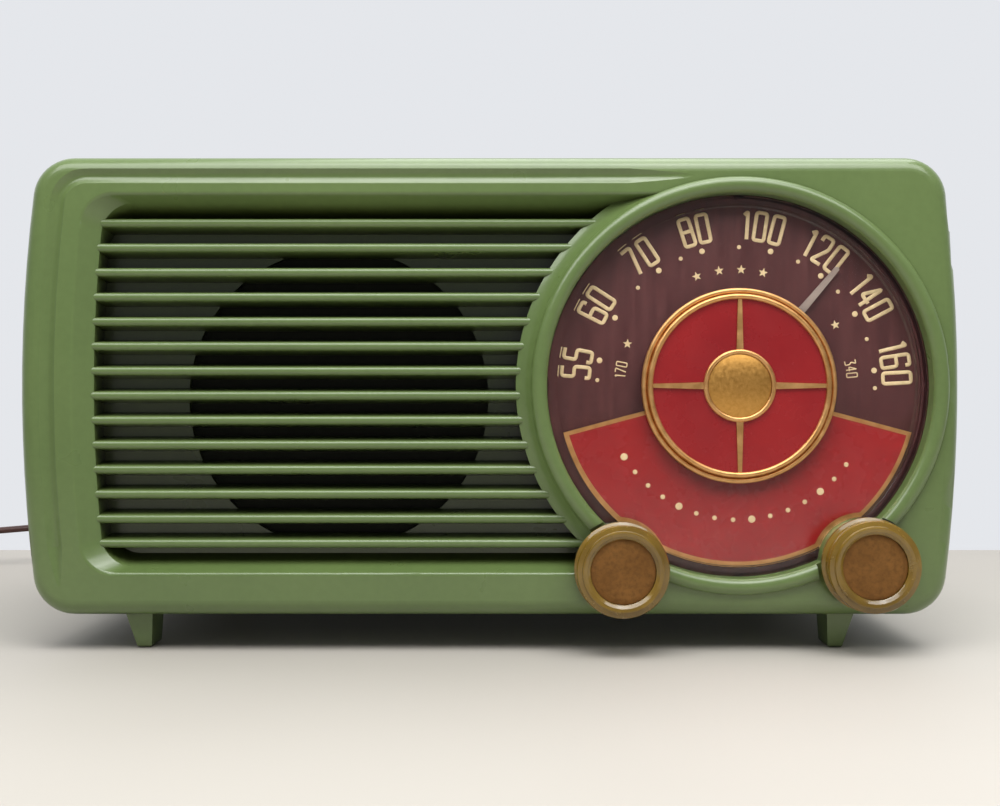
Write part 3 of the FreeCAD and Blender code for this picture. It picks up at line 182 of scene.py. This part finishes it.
# ---------------------------------------------------------------- finishes
def case_paint():
    """Jade green gloss over brown moulded phenolic, with painted shade darkening its corners and recesses.
    """
    look = Look("jade_case_paint", 0.28)
    broad = look.noise(14.0, 3.0)
    base = look.ramp(broad, (0.3, (0.110, 0.168, 0.052)), (0.7, (0.132, 0.194, 0.062)))
    fine = look.noise(420.0, 2.0)
    base = look.mix(0.10, base, look.ramp(fine, (0.35, (0.09, 0.14, 0.035)), (0.65, (0.16, 0.24, 0.07))))
    # painted shade: ambient occlusion darkens the paint in tight corners and, more broadly, deep in the
    # louvre recess
    crevice_shade = look.ramp(look.crevice(0.006), (0.25, (0.55, 0.50, 0.36)), (0.85, (1, 1, 1)))
    recess_shade = look.ramp(look.crevice(0.022), (0.06, (0.36, 0.33, 0.26)), (0.40, (1, 1, 1)))
    look.colour(look.mix(1.0, look.mix(1.0, base, crevice_shade, "MULTIPLY"), recess_shade, "MULTIPLY"))
    look.rough(look.spread(look.noise(60.0, 3.0), 0.27, 0.32))
    look.bump(look.noise(220.0, 2.0), 0.03, 0.0004)
    look.set(Coat_Weight=0.35, Coat_Roughness=0.12)
    return look.material


def cloth_weave():
    """Dark open weave behind the louvres."""
    look = Look("speaker_cloth", 0.9)
    across = look.wave(900.0, "X")
    up = look.wave(900.0, "Z")
    weave = look.mix(0.5, across, up)
    look.colour(look.ramp(weave, (0.2, (0.008, 0.009, 0.006)), (0.8, (0.040, 0.044, 0.028))))
    look.bump(weave, 0.6, 0.0003)
    return look.material


def hardboard(name, dark, light):
    """Pressed fibre, paper or string: dull, with short fibres."""
    look = Look(name, 0.75)
    fibre = look.noise(180.0, 6.0, 0.7)
    look.colour(look.ramp(fibre, (0.35, dark), (0.65, light)))
    look.bump(look.noise(700.0, 3.0), 0.35, 0.0003)
    return look.material


def clear_crystal():
    """Clear moulded plastic with the faint haze of age."""
    look = Look("dial_crystal_clear", 0.04)
    look.set(Transmission_Weight=1.0, IOR=1.3)
    haze = look.noise(25.0, 4.0)
    look.colour(look.ramp(haze, (0.3, (0.93, 0.90, 0.86)), (0.7, (0.98, 0.96, 0.94))))
    look.rough(look.spread(look.noise(300.0, 4.0), 0.01, 0.05))
    return look.material


def gloss_colour(name, dark, light, rough=(0.2, 0.34), coat=0.4):
    """Smooth enamel or moulded plastic under a thin gloss."""
    look = Look(name, 0.25)
    look.colour(look.ramp(look.noise(40.0, 4.0), (0.3, dark), (0.7, light)))
    look.rough(look.spread(look.noise(120.0, 4.0), *rough))
    look.bump(look.noise(500.0, 2.0), 0.04, 0.0003)
    look.set(Coat_Weight=coat, Coat_Roughness=0.08)
    return look.material


def metal(name, dark, light, rough=(0.25, 0.4), grain=(1, 1, 1), grain_scale=300.0, bump=0.1):
    """Sheet, turned or plated metal with a fine grain."""
    look = Look(name, 0.3, 1.0)
    streaks = look.noise(grain_scale, 5.0, 0.6, look.stretched(grain))
    look.colour(look.ramp(streaks, (0.3, dark), (0.7, light)))
    look.rough(look.spread(streaks, *rough))
    look.bump(streaks, bump, 0.0002)
    return look.material


def aged_disc():
    """Gold foil under the knob's face, browned and speckled with age."""
    look = Look("knob_disc_aged_gold", 0.4, 0.75)
    speck = look.noise(650.0, 6.0, 0.7)
    cloud = look.noise(120.0, 4.0)
    gold = look.ramp(cloud, (0.3, (0.20, 0.088, 0.022)), (0.7, (0.29, 0.135, 0.036)))
    browned = look.ramp(speck, (0.44, (0, 0, 0)), (0.70, (0.55, 0.55, 0.55)))
    look.colour(look.mix(browned, gold, (0.11, 0.05, 0.016)))
    look.rough(look.spread(speck, 0.45, 0.6))
    look.bump(speck, 0.12, 0.0001)
    return look.material


def amber_plastic():
    """Translucent yellowed plastic."""
    look = Look("knob_amber_plastic", 0.2)
    cloud = look.noise(90.0, 4.0)
    look.colour(look.ramp(cloud, (0.3, (0.21, 0.12, 0.010)), (0.7, (0.36, 0.215, 0.024))))
    look.set(Transmission_Weight=0.35, IOR=1.5, Coat_Weight=0.5, Coat_Roughness=0.06)
    look.rough(look.spread(look.noise(260.0, 4.0), 0.12, 0.3))
    return look.material


def maroon_scale():
    """Dark maroon print with upright streaks."""
    look = Look("dial_scale_maroon", 0.45)
    streak = look.noise(60.0, 4.0, 0.6, look.stretched((6, 1, 0.6)))
    look.colour(look.ramp(streak, (0.3, (0.054, 0.010, 0.011)), (0.7, (0.086, 0.019, 0.019))))
    look.rough(look.spread(streak, 0.35, 0.5))
    look.bump(look.noise(800.0, 3.0), 0.05, 0.0002)
    return look.material


def printed_cream():
    """Cream ink."""
    look = Look("dial_print_cream", 0.6)
    look.colour(look.ramp(look.noise(400.0, 4.0), (0.3, (0.60, 0.46, 0.25)), (0.7, (0.76, 0.61, 0.36))))
    look.bump(look.noise(1500.0, 2.0), 0.1, 0.0001)
    return look.material


def grey_pointer():
    """Smoky plastic that lets a little light through."""
    look = Look("pointer_smoke", 0.3)
    look.colour(look.ramp(look.noise(120.0, 3.0), (0.3, (0.34, 0.27, 0.24)), (0.7, (0.46, 0.38, 0.33))))
    look.set(Transmission_Weight=0.3, Coat_Weight=0.3)
    look.bump(look.noise(600.0, 2.0), 0.05, 0.0002)
    return look.material


def rubber(name, dark, light):
    """Rubber of the cord, its boot and its plug."""
    look = Look(name, 0.5)
    look.colour(look.ramp(look.noise(220.0, 5.0), (0.3, dark), (0.7, light)))
    look.rough(look.spread(look.noise(500.0, 3.0), 0.42, 0.62))
    look.bump(look.noise(900.0, 3.0), 0.2, 0.0002)
    return look.material


def tube_glass():
    """Thin clear glass."""
    look = Look("valve_glass", 0.02)
    look.set(Transmission_Weight=1.0, IOR=1.47)
    look.colour(look.ramp(look.noise(60.0, 2.0), (0.3, (0.90, 0.93, 0.93)), (0.7, (0.98, 0.99, 0.99))))
    look.rough(look.spread(look.noise(200.0, 3.0), 0.0, 0.04))
    return look.material


def wound_wire():
    """Close turns of enamelled wire."""
    look = Look("enamelled_copper_wire", 0.35, 0.6)
    turns = look.wave(1400.0, "Z", 0.4)
    look.colour(look.ramp(turns, (0.2, (0.12, 0.035, 0.012)), (0.8, (0.42, 0.16, 0.055))))
    look.bump(turns, 0.7, 0.0003)
    return look.material


FINISHES = {
    "case_green": case_paint(),
    "grille_cloth": cloth_weave(),
    "board": hardboard("hardboard_brown", (0.085, 0.045, 0.022), (0.16, 0.09, 0.045)),
    "crystal": clear_crystal(),
    "dial_red": gloss_colour("dial_red_enamel", (0.255, 0.008, 0.011), (0.32, 0.012, 0.014), coat=0.15),
    "gold_trim": metal("gold_lacquer", (0.62, 0.32, 0.11), (0.78, 0.45, 0.19), (0.34, 0.5)),
    "button_gold": metal("satin_gold", (0.52, 0.26, 0.06), (0.66, 0.36, 0.10), (0.36, 0.5), (1, 0.2, 1),
                         900.0),
    "scale_maroon": maroon_scale(),
    "pointer_grey": grey_pointer(),
    "amber": amber_plastic(),
    "aged_gold": aged_disc(),
    "steel": metal("bright_steel", (0.32, 0.31, 0.30), (0.52, 0.51, 0.49), (0.28, 0.45)),
    "aluminium": metal("dull_aluminium", (0.48, 0.48, 0.47), (0.66, 0.66, 0.65), (0.3, 0.5), (1, 1, 6)),
    "chassis_plate": metal("cadmium_plate", (0.30, 0.29, 0.25), (0.48, 0.47, 0.42), (0.35, 0.6), (1, 1, 1),
                           70.0),
    "brass": metal("bare_brass", (0.40, 0.25, 0.08), (0.62, 0.42, 0.16), (0.25, 0.45)),
    "phenolic_brown": gloss_colour("brown_phenolic", (0.045, 0.02, 0.01), (0.09, 0.04, 0.018), (0.3, 0.5),
                                   0.1),
    "tube_glass": tube_glass(),
    "plate_dark": metal("carbon_plate", (0.015, 0.015, 0.016), (0.05, 0.05, 0.052), (0.5, 0.7)),
    "copper_wire": wound_wire(),
    "wax_paper": hardboard("waxed_paper", (0.42, 0.30, 0.14), (0.58, 0.45, 0.24)),
    "cone_paper": hardboard("cone_pulp", (0.012, 0.012, 0.012), (0.035, 0.033, 0.03)),
    "drive_string": hardboard("waxed_string", (0.40, 0.34, 0.24), (0.55, 0.48, 0.36)),
    "cord_brown": rubber("cord_rubber_brown", (0.045, 0.014, 0.010), (0.085, 0.028, 0.020)),
    "plug_brown": rubber("plug_rubber_brown", (0.018, 0.008, 0.006), (0.040, 0.018, 0.013)),
}
PRINT = printed_cream()


def paint_frame():
    """Give every carried-over piece the finish of its slot."""
    for part in frame["record"]["subparts"]:
        mesh = NODES[part["node"]].data
        mesh.materials.clear()
        mesh.materials.append(FINISHES[part["material_slot"]])


paint_frame()
NODES["dial_crystal"].visible_shadow = False


# ---------------------------------------------------------------- modelling helpers
def deselect():
    bpy.ops.object.select_all(action="DESELECT")


def settle(piece, name, finish, body="body"):
    """Name a finished piece, put its place into its mesh, give it its finish and let it ride."""
    deselect()
    bpy.context.view_layer.objects.active = piece
    piece.select_set(True)
    bpy.ops.object.transform_apply(location=True, rotation=True, scale=True)
    piece.name = name
    piece.data.name = name
    piece.data.materials.clear()
    piece.data.materials.append(finish)
    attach(piece, body)
    return piece


def join(pieces):
    """Make one object of several."""
    deselect()
    for p in pieces:
        p.select_set(True)
    bpy.context.view_layer.objects.active = pieces[0]
    bpy.ops.object.join()
    return pieces[0]


def as_mesh(piece):
    """Turn a curve into a mesh."""
    deselect()
    bpy.context.view_layer.objects.active = piece
    piece.select_set(True)
    bpy.ops.object.convert(target="MESH")
    return bpy.context.object


# ---------------------------------------------------------------- mains cord
CORD_W = 5.4 * MM
CORD_T = 2.8 * MM
EXIT = Vector((-0.126, 0.0825, 0.025))
COIL = Vector((-0.266, 0.078, 0.0))
COIL_MEAN_R = 0.028
COIL_LIFT = 1.1 * MM
TURN_GAP = 0.1 * MM
LEVELS = 4
LEVEL = CORD_T + TURN_GAP
RING_R = COIL_MEAN_R + CORD_W / 2
OUTER_R = RING_R + TURN_GAP
INNER_R = COIL_MEAN_R - CORD_W / 2 - TURN_GAP

CORD_ROUTE = [
    (EXIT.x, EXIT.y, EXIT.z),
    (EXIT.x - 0.001, 0.102, 0.0244),
    (EXIT.x - 0.0125, 0.120, 0.0226),
    (EXIT.x - 0.035, 0.130, 0.0206),
    (EXIT.x - 0.070, 0.127, 0.0184),
    (EXIT.x - 0.106, 0.1155, 0.0160),
]
TAIL_ROUTE = [
    (COIL.x - RING_R - 0.0015, COIL.y - 0.029, 0.0066),
    (COIL.x - RING_R + 0.004, COIL.y - 0.054, CORD_W / 2 + 0.0006),
]
POINTS_A_TURN = 24
TURNS = 7.25
# How far in from the outer column, and at which level, the cord lies after so many turns.
SHIFTS = [(0.0, 0.28, 1.0), (3.6, 4.0, -1.0)]
DROPS = [(0.28, 0.50, -1.0)]
DROPS += [(k, k + 0.22, -1.0) for k in (1, 2, 3)]
DROPS += [(k + 0.38, k + 0.6, 1.0) for k in (4, 5, 6)]


def eased(turn, steps):
    """Sum of the soft steps passed by so many turns."""
    total = 0.0
    for start, end, height in steps:
        t = min(max((turn - start) / (end - start), 0.0), 1.0)
        total += height * t * t * (3 - 2 * t)
    return total


def coil_points():
    """In over the top, down the inner column turn by turn, out at the bottom and up the outer one."""
    points = []
    for i in range(int(TURNS * POINTS_A_TURN) + 1):
        turn = i / POINTS_A_TURN
        angle = math.pi / 2 + turn * math.tau
        radius = OUTER_R - (OUTER_R - INNER_R) * eased(turn, SHIFTS)
        level = LEVELS + eased(turn, DROPS)
        points.append((COIL.x + radius * math.cos(angle), COIL.y + radius * math.sin(angle),
                       COIL_LIFT + CORD_T / 2 + level * LEVEL))
    return points


def spline_of(points, name):
    """Smooth line through the route, as points close together."""
    data = bpy.data.curves.new(name, "CURVE")
    data.dimensions = "3D"
    spline = data.splines.new("NURBS")
    spline.points.add(len(points) - 1)
    for point, place in zip(spline.points, points):
        point.co = (*place, 1.0)
    spline.order_u = 3
    spline.use_endpoint_u = True
    spline.resolution_u = 6
    line = bpy.data.objects.new(name, data)
    bpy.context.scene.collection.objects.link(line)
    bpy.context.view_layer.update()
    mesh = bpy.data.meshes.new_from_object(line)
    path = [v.co.copy() for v in mesh.vertices]
    bpy.data.objects.remove(line)
    bpy.data.meshes.remove(mesh)
    return path


def twin_section(steps=10):
    """Outline of two round cores side by side with a groove between, as (sideways, up)."""
    core = CORD_T / 2
    shift = (CORD_W - CORD_T) / 2
    points = []
    for side in (1, -1):
        base = -math.radians(115) if side > 0 else math.radians(65)
        for i in range(steps):
            a = base + math.radians(230) * i / (steps - 1)
            points.append((side * shift + core * math.cos(a), core * math.sin(a)))
    return points


def twin_cord(path, name):
    """Mesh tube of the twin section, kept level along the path."""
    section = twin_section()
    count = len(section)
    vertices = []
    faces = []
    for i, place in enumerate(path):
        ahead = path[min(i + 1, len(path) - 1)] - path[max(i - 1, 0)]
        ahead.normalize()
        side = ahead.cross(Vector((0, 0, 1))).normalized()
        up = side.cross(ahead).normalized()
        vertices.extend(place + side * u + up * v for u, v in section)
    for i in range(len(path) - 1):
        for k in range(count):
            a = i * count + k
            b = i * count + (k + 1) % count
            faces.append((a, b, b + count, a + count))
    faces.append(tuple(reversed(range(count))))
    faces.append(tuple(range((len(path) - 1) * count, len(path) * count)))
    mesh = bpy.data.meshes.new(name)
    mesh.from_pydata([tuple(v) for v in vertices], [], faces)
    piece = bpy.data.objects.new(name, mesh)
    bpy.context.scene.collection.objects.link(piece)
    deselect()
    bpy.context.view_layer.objects.active = piece
    piece.select_set(True)
    bpy.ops.object.mode_set(mode="EDIT")
    bpy.ops.mesh.select_all(action="SELECT")
    bpy.ops.mesh.normals_make_consistent(inside=False)
    bpy.ops.object.mode_set(mode="OBJECT")
    bpy.ops.object.shade_smooth_by_angle(angle=math.radians(50))
    return piece


def strain_relief():
    """Tapered ribbed boot where the cord leaves the back."""
    profile = [(6.2, 0.0), (6.0, 1.4), (4.6, 2.2)]
    for k in range(5):
        y = 3.4 + 3.6 * k
        r = 4.6 - 0.22 * k
        profile += [(r, y), (r, y + 1.9), (r - 0.7, y + 2.3), (r - 0.7, y + 3.2)]
    profile += [(3.3, 22.0), (3.1, 22.4)]
    bpy.ops.mesh.primitive_circle_add(vertices=28, radius=profile[0][0] * MM, location=EXIT,
                                      rotation=(-math.pi / 2, 0, 0))
    boot = bpy.context.object
    bpy.ops.object.transform_apply(location=False, rotation=True, scale=False)
    bpy.ops.object.mode_set(mode="EDIT")
    bpy.ops.mesh.select_all(action="SELECT")
    bpy.ops.mesh.edge_face_add()
    last_r, last_y = profile[0]
    for r, y in profile[1:]:
        bpy.ops.mesh.extrude_region_move(TRANSFORM_OT_translate={"value": (0, (y - last_y) * MM, 0)})
        k = r / last_r
        centre = (EXIT.x, EXIT.y + y * MM, EXIT.z)
        bpy.ops.transform.resize(value=(k, 1, k), center_override=centre)
        last_r, last_y = r, y
    bpy.ops.mesh.select_all(action="SELECT")
    bpy.ops.mesh.normals_make_consistent(inside=False)
    bpy.ops.object.mode_set(mode="OBJECT")
    bpy.ops.object.shade_smooth_by_angle(angle=math.radians(40))
    return settle(boot, "cord_boot", FINISHES["plug_brown"])


def mains_cord():
    """Twin cord at its whole length, from the boot to the plug."""
    route = CORD_ROUTE + coil_points() + TAIL_ROUTE
    path = spline_of(route, "cord_line")
    length = sum((b - a).length for a, b in zip(path, path[1:]))
    print("cord length", round(length, 4))
    cord = twin_cord(path, "mains_cord")
    cord.data.materials.append(FINISHES["cord_brown"])
    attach(cord, "body")
    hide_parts("power_cord", "cord_tail", "cord_coil")
    boot = strain_relief()


mains_cord()


# ---------------------------------------------------------------- printed dial
DIAL = Vector((0.0768, 0, 0.0818))
SCALE_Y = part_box("dial_scale")[0].y
STROKE = 1.2 * MM
DIGIT_W = 3.3 * MM
DIGIT_H = 8.7 * MM
PRINT_RISE = 0.1 * MM
DIGIT_GAP = 0.75 * MM
FIGURE_ONE_W = 0.62          # a figure one is narrower than the others
FINE_PRINT = 0.38            # size of the small numbers, as a share of the large ones
FINE_STROKE = 0.8            # their strokes are thinner still
STAR_CORNERS = 10
STAR_WAIST = 0.42

DIGITS = {
    "0": [[(0, 0), (1, 0), (1, 1), (0, 1), (0, 0)]],
    "1": [[(0.2, 0.86), (0.55, 1), (0.55, 0)]],
    "2": [[(0, 0.78), (0, 1), (1, 1), (1, 0.6), (0, 0), (1, 0)]],
    "3": [[(0, 1), (1, 1), (0.45, 0.58), (1, 0.42), (1, 0), (0, 0)]],
    "4": [[(0.72, 0), (0.72, 1), (0, 0.3), (1.05, 0.3)]],
    "5": [[(1, 1), (0.05, 1), (0.05, 0.56), (1, 0.56), (1, 0), (0, 0), (0, 0.16)]],
    "6": [[(1, 0.84), (1, 1), (0, 1), (0, 0), (1, 0), (1, 0.54), (0, 0.54)]],
    "7": [[(0, 1), (1, 1), (0.3, 0)]],
    "8": [[(0, 0), (1, 0), (1, 1), (0, 1), (0, 0)], [(0, 0.52), (1, 0.52)]],
}


def rounded(path, radius):
    """The same corners, cut by short round bends."""
    points = [Vector(p) for p in path]
    closed = (points[0] - points[-1]).length < 1e-9
    ring = points[:-1] if closed else points
    out = []
    for i, p in enumerate(ring):
        if not closed and i in (0, len(ring) - 1):
            out.append(p)
            continue
        before = ring[i - 1] - p
        after = ring[(i + 1) % len(ring)] - p
        cut = min(radius, before.length * 0.45, after.length * 0.45)
        a = p + before.normalized() * cut
        b = p + after.normalized() * cut
        for t in (0, 0.25, 0.5, 0.75, 1):
            out.append(a * (1 - t) ** 2 + p * (2 * t * (1 - t)) + b * t ** 2)
    return out, closed


def digit(character, scale):
    """One printed figure as slightly raised round-ended strokes, standing up and centred."""
    data = bpy.data.curves.new("figure", "CURVE")
    data.dimensions = "3D"
    data.bevel_depth = STROKE / 2 * scale * (FINE_STROKE if scale == FINE_PRINT else 1.0)
    data.bevel_resolution = 2
    data.use_fill_caps = True
    for stroke in DIGITS[character]:
        sized = [(x * DIGIT_W * scale, z * DIGIT_H * scale) for x, z in stroke]
        points, closed = rounded(sized, 0.9 * MM * scale)
        spline = data.splines.new("POLY")
        spline.points.add(len(points) - 1)
        for point, p in zip(spline.points, points):
            point.co = (p.x - DIGIT_W * scale / 2, 0, p.y - DIGIT_H * scale / 2, 1)
        spline.use_cyclic_u = closed
    piece = bpy.data.objects.new("figure", data)
    bpy.context.scene.collection.objects.link(piece)
    piece = as_mesh(piece)
    piece.data.transform(Matrix.Diagonal((1, 2 * PRINT_RISE / STROKE, 1, 1)))
    return piece


def on_dial(piece, radius, degrees, face_y=SCALE_Y):
    """Stand a piece on the dial at a radius and angle, its top outwards."""
    a = math.radians(degrees)
    turn = Matrix.Rotation(math.pi / 2 - a, 4, "Y")
    place = Matrix.Translation((DIAL.x + radius * math.cos(a), face_y, DIAL.z + radius * math.sin(a)))
    piece.data.transform(place @ turn)
    return piece


def number(text, radius, degrees, scale=1.0):
    """A number whose figures each follow the dial's curve."""
    advance = (DIGIT_W + STROKE + DIGIT_GAP) * scale
    pieces = []
    widths = [FIGURE_ONE_W if c == "1" else 1.0 for c in text]
    total = sum(widths)
    along = -total / 2
    for c, w in zip(text, widths):
        middle = along + w / 2
        along += w
        pieces.append(on_dial(digit(c, scale), radius, degrees - math.degrees(middle * advance / radius)))
    return pieces


def flat_disc(corners, radius):
    """Filled outline that faces the front, ready to be raised."""
    bpy.ops.mesh.primitive_circle_add(vertices=corners, radius=radius, fill_type="NGON",
                                      rotation=(math.pi / 2, 0, 0))
    bpy.ops.object.transform_apply(rotation=True)
    return bpy.context.object


def dot(radius, degrees, size, face_y=SCALE_Y):
    """Small raised dot with a rounded edge."""
    piece = flat_disc(16, size)
    bpy.ops.object.mode_set(mode="EDIT")
    bpy.ops.mesh.select_all(action="SELECT")
    bpy.ops.mesh.extrude_region_move(TRANSFORM_OT_translate={"value": (0, -PRINT_RISE, 0)})
    bpy.ops.transform.resize(value=(0.85, 1, 0.85))
    bpy.ops.mesh.select_all(action="SELECT")
    bpy.ops.mesh.normals_make_consistent(inside=False)
    bpy.ops.object.mode_set(mode="OBJECT")
    return on_dial(piece, radius, degrees, face_y)


def star(radius, degrees, size):
    """Plain five-pointed star."""
    piece = flat_disc(STAR_CORNERS, size)
    start = max(range(STAR_CORNERS), key=lambda i: piece.data.vertices[i].co.z)
    for i, v in enumerate(piece.data.vertices):
        if (i - start) % 2:
            v.co *= STAR_WAIST
    bpy.ops.object.mode_set(mode="EDIT")
    bpy.ops.mesh.select_all(action="SELECT")
    bpy.ops.mesh.extrude_region_move(TRANSFORM_OT_translate={"value": (0, -PRINT_RISE, 0)})
    bpy.ops.mesh.select_all(action="SELECT")
    bpy.ops.mesh.normals_make_consistent(inside=False)
    bpy.ops.object.mode_set(mode="OBJECT")
    return on_dial(piece, radius, degrees)


NUMBER_R = 50.2 * MM
DOT_R = 43.3 * MM
INNER_R_PRINT = 36.3 * MM
LOWER_R = 41.5 * MM
BIG_DOT = 0.9 * MM
SMALL_DOT = 0.65 * MM
STAR_SIZE = 1.5 * MM
NUMBERS = [("55", 172), ("60", 150), ("70", 126.5), ("80", 104.8), ("100", 80.2), ("120", 56.4), ("140", 33),
           ("160", 7.7)]
INNER_NUMBERS = [("170", 171.8), ("340", 8.5)]
BIG_DOTS = (169.4, 150.6, 123.8, 104.2, 75.6, 52.4, 31.2, 6.4)
SMALL_DOTS = (177.6, 135, 113.5, 88.8, 63.5, 42.8, 19.7, -0.9)
STARS = (158.8, 109.7, 98.4, 87.5, 76.6, 31.6)
ROW_START = 212
ROW_STEP = 8.0
ROW_DOTS = 15
ROW_DOT = 0.75 * MM
ROW_BIG_DOT = 1.15 * MM


def dial_print():
    """The scale's numbers, dots and stars, and a plain row of dots on the lower panel."""
    pieces = []
    for text, degrees in NUMBERS:
        pieces += number(text, NUMBER_R, degrees)
    for degrees in BIG_DOTS:
        pieces.append(dot(DOT_R, degrees, BIG_DOT))
    for degrees in SMALL_DOTS:
        pieces.append(dot(DOT_R, degrees, SMALL_DOT))
    for degrees in STARS:
        pieces.append(star(INNER_R_PRINT, degrees, STAR_SIZE))
    for text, degrees in INNER_NUMBERS:
        pieces += number(text, INNER_R_PRINT, degrees, FINE_PRINT)
    settle(join(pieces), "dial_print", PRINT)
    panel_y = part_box("dial_lower_panel")[0].y
    row = []
    for k in range(ROW_DOTS):
        size = ROW_DOT if k % 4 else ROW_BIG_DOT
        row.append(dot(LOWER_R, ROW_START + ROW_STEP * k, size, panel_y))
    settle(join(row), "dial_lower_dots", PRINT)


dial_print()


# ---------------------------------------------------------------- floor and light
TABLE_BACK_Y = 0.165        # the pale top ends a little behind the set
TABLE_SIZE = 6.0
TABLE_DROP = 0.1 * MM


def floor():
    """Plain pale table top."""
    middle = (0, TABLE_BACK_Y - TABLE_SIZE / 2, -TABLE_DROP)
    bpy.ops.mesh.primitive_plane_add(size=TABLE_SIZE, location=middle)
    ground = bpy.context.object
    ground.name = "floor"
    look = Look("floor_pale", 0.6)
    look.colour(look.ramp(look.noise(3.0, 3.0), (0.3, (0.47, 0.44, 0.395)), (0.7, (0.53, 0.50, 0.45))))
    ground.data.materials.append(look.material)


def area_light(name, place, aim, size, power):
    """Soft rectangular lamp turned towards its aim."""
    bpy.ops.object.light_add(type="AREA", location=place)
    lamp = bpy.context.object
    lamp.name = name
    lamp.data.shape = "RECTANGLE"
    lamp.data.size = size[0]
    lamp.data.size_y = size[1]
    lamp.data.energy = power
    direction = Vector(aim) - Vector(place)
    lamp.rotation_euler = direction.to_track_quat("-Z", "Y").to_euler()


def studio():
    """Air that is bright behind the set and dim before it, and two soft lamps."""
    world = bpy.data.worlds.new("studio_air")
    bpy.context.scene.world = world
    world.use_nodes = True
    tree = world.node_tree
    air = tree.nodes["Background"]
    air.inputs["Color"].default_value = (0.93, 0.95, 0.99, 1)
    around = tree.nodes.new("ShaderNodeTexCoord")
    parts = tree.nodes.new("ShaderNodeSeparateXYZ")
    spread = tree.nodes.new("ShaderNodeMapRange")
    for name, value in (("From Min", -0.2), ("From Max", 0.6), ("To Min", 0.27), ("To Max", 0.84)):
        spread.inputs[name].default_value = value
    tree.links.new(around.outputs["Generated"], parts.inputs["Vector"])
    tree.links.new(parts.outputs["Y"], spread.inputs["Value"])
    tree.links.new(spread.outputs["Result"], air.inputs["Strength"])
    area_light("overhead", (0.1, -0.05, 1.0), (0, -0.02, 0.1), (1.1, 0.8), 9.0)
    area_light("front_fill", (0.0, -0.27, 0.42), (0, -0.07, 0.15), (0.8, 0.22), 2.4)
    bpy.context.scene.view_settings.view_transform = "Standard"


floor()
studio()
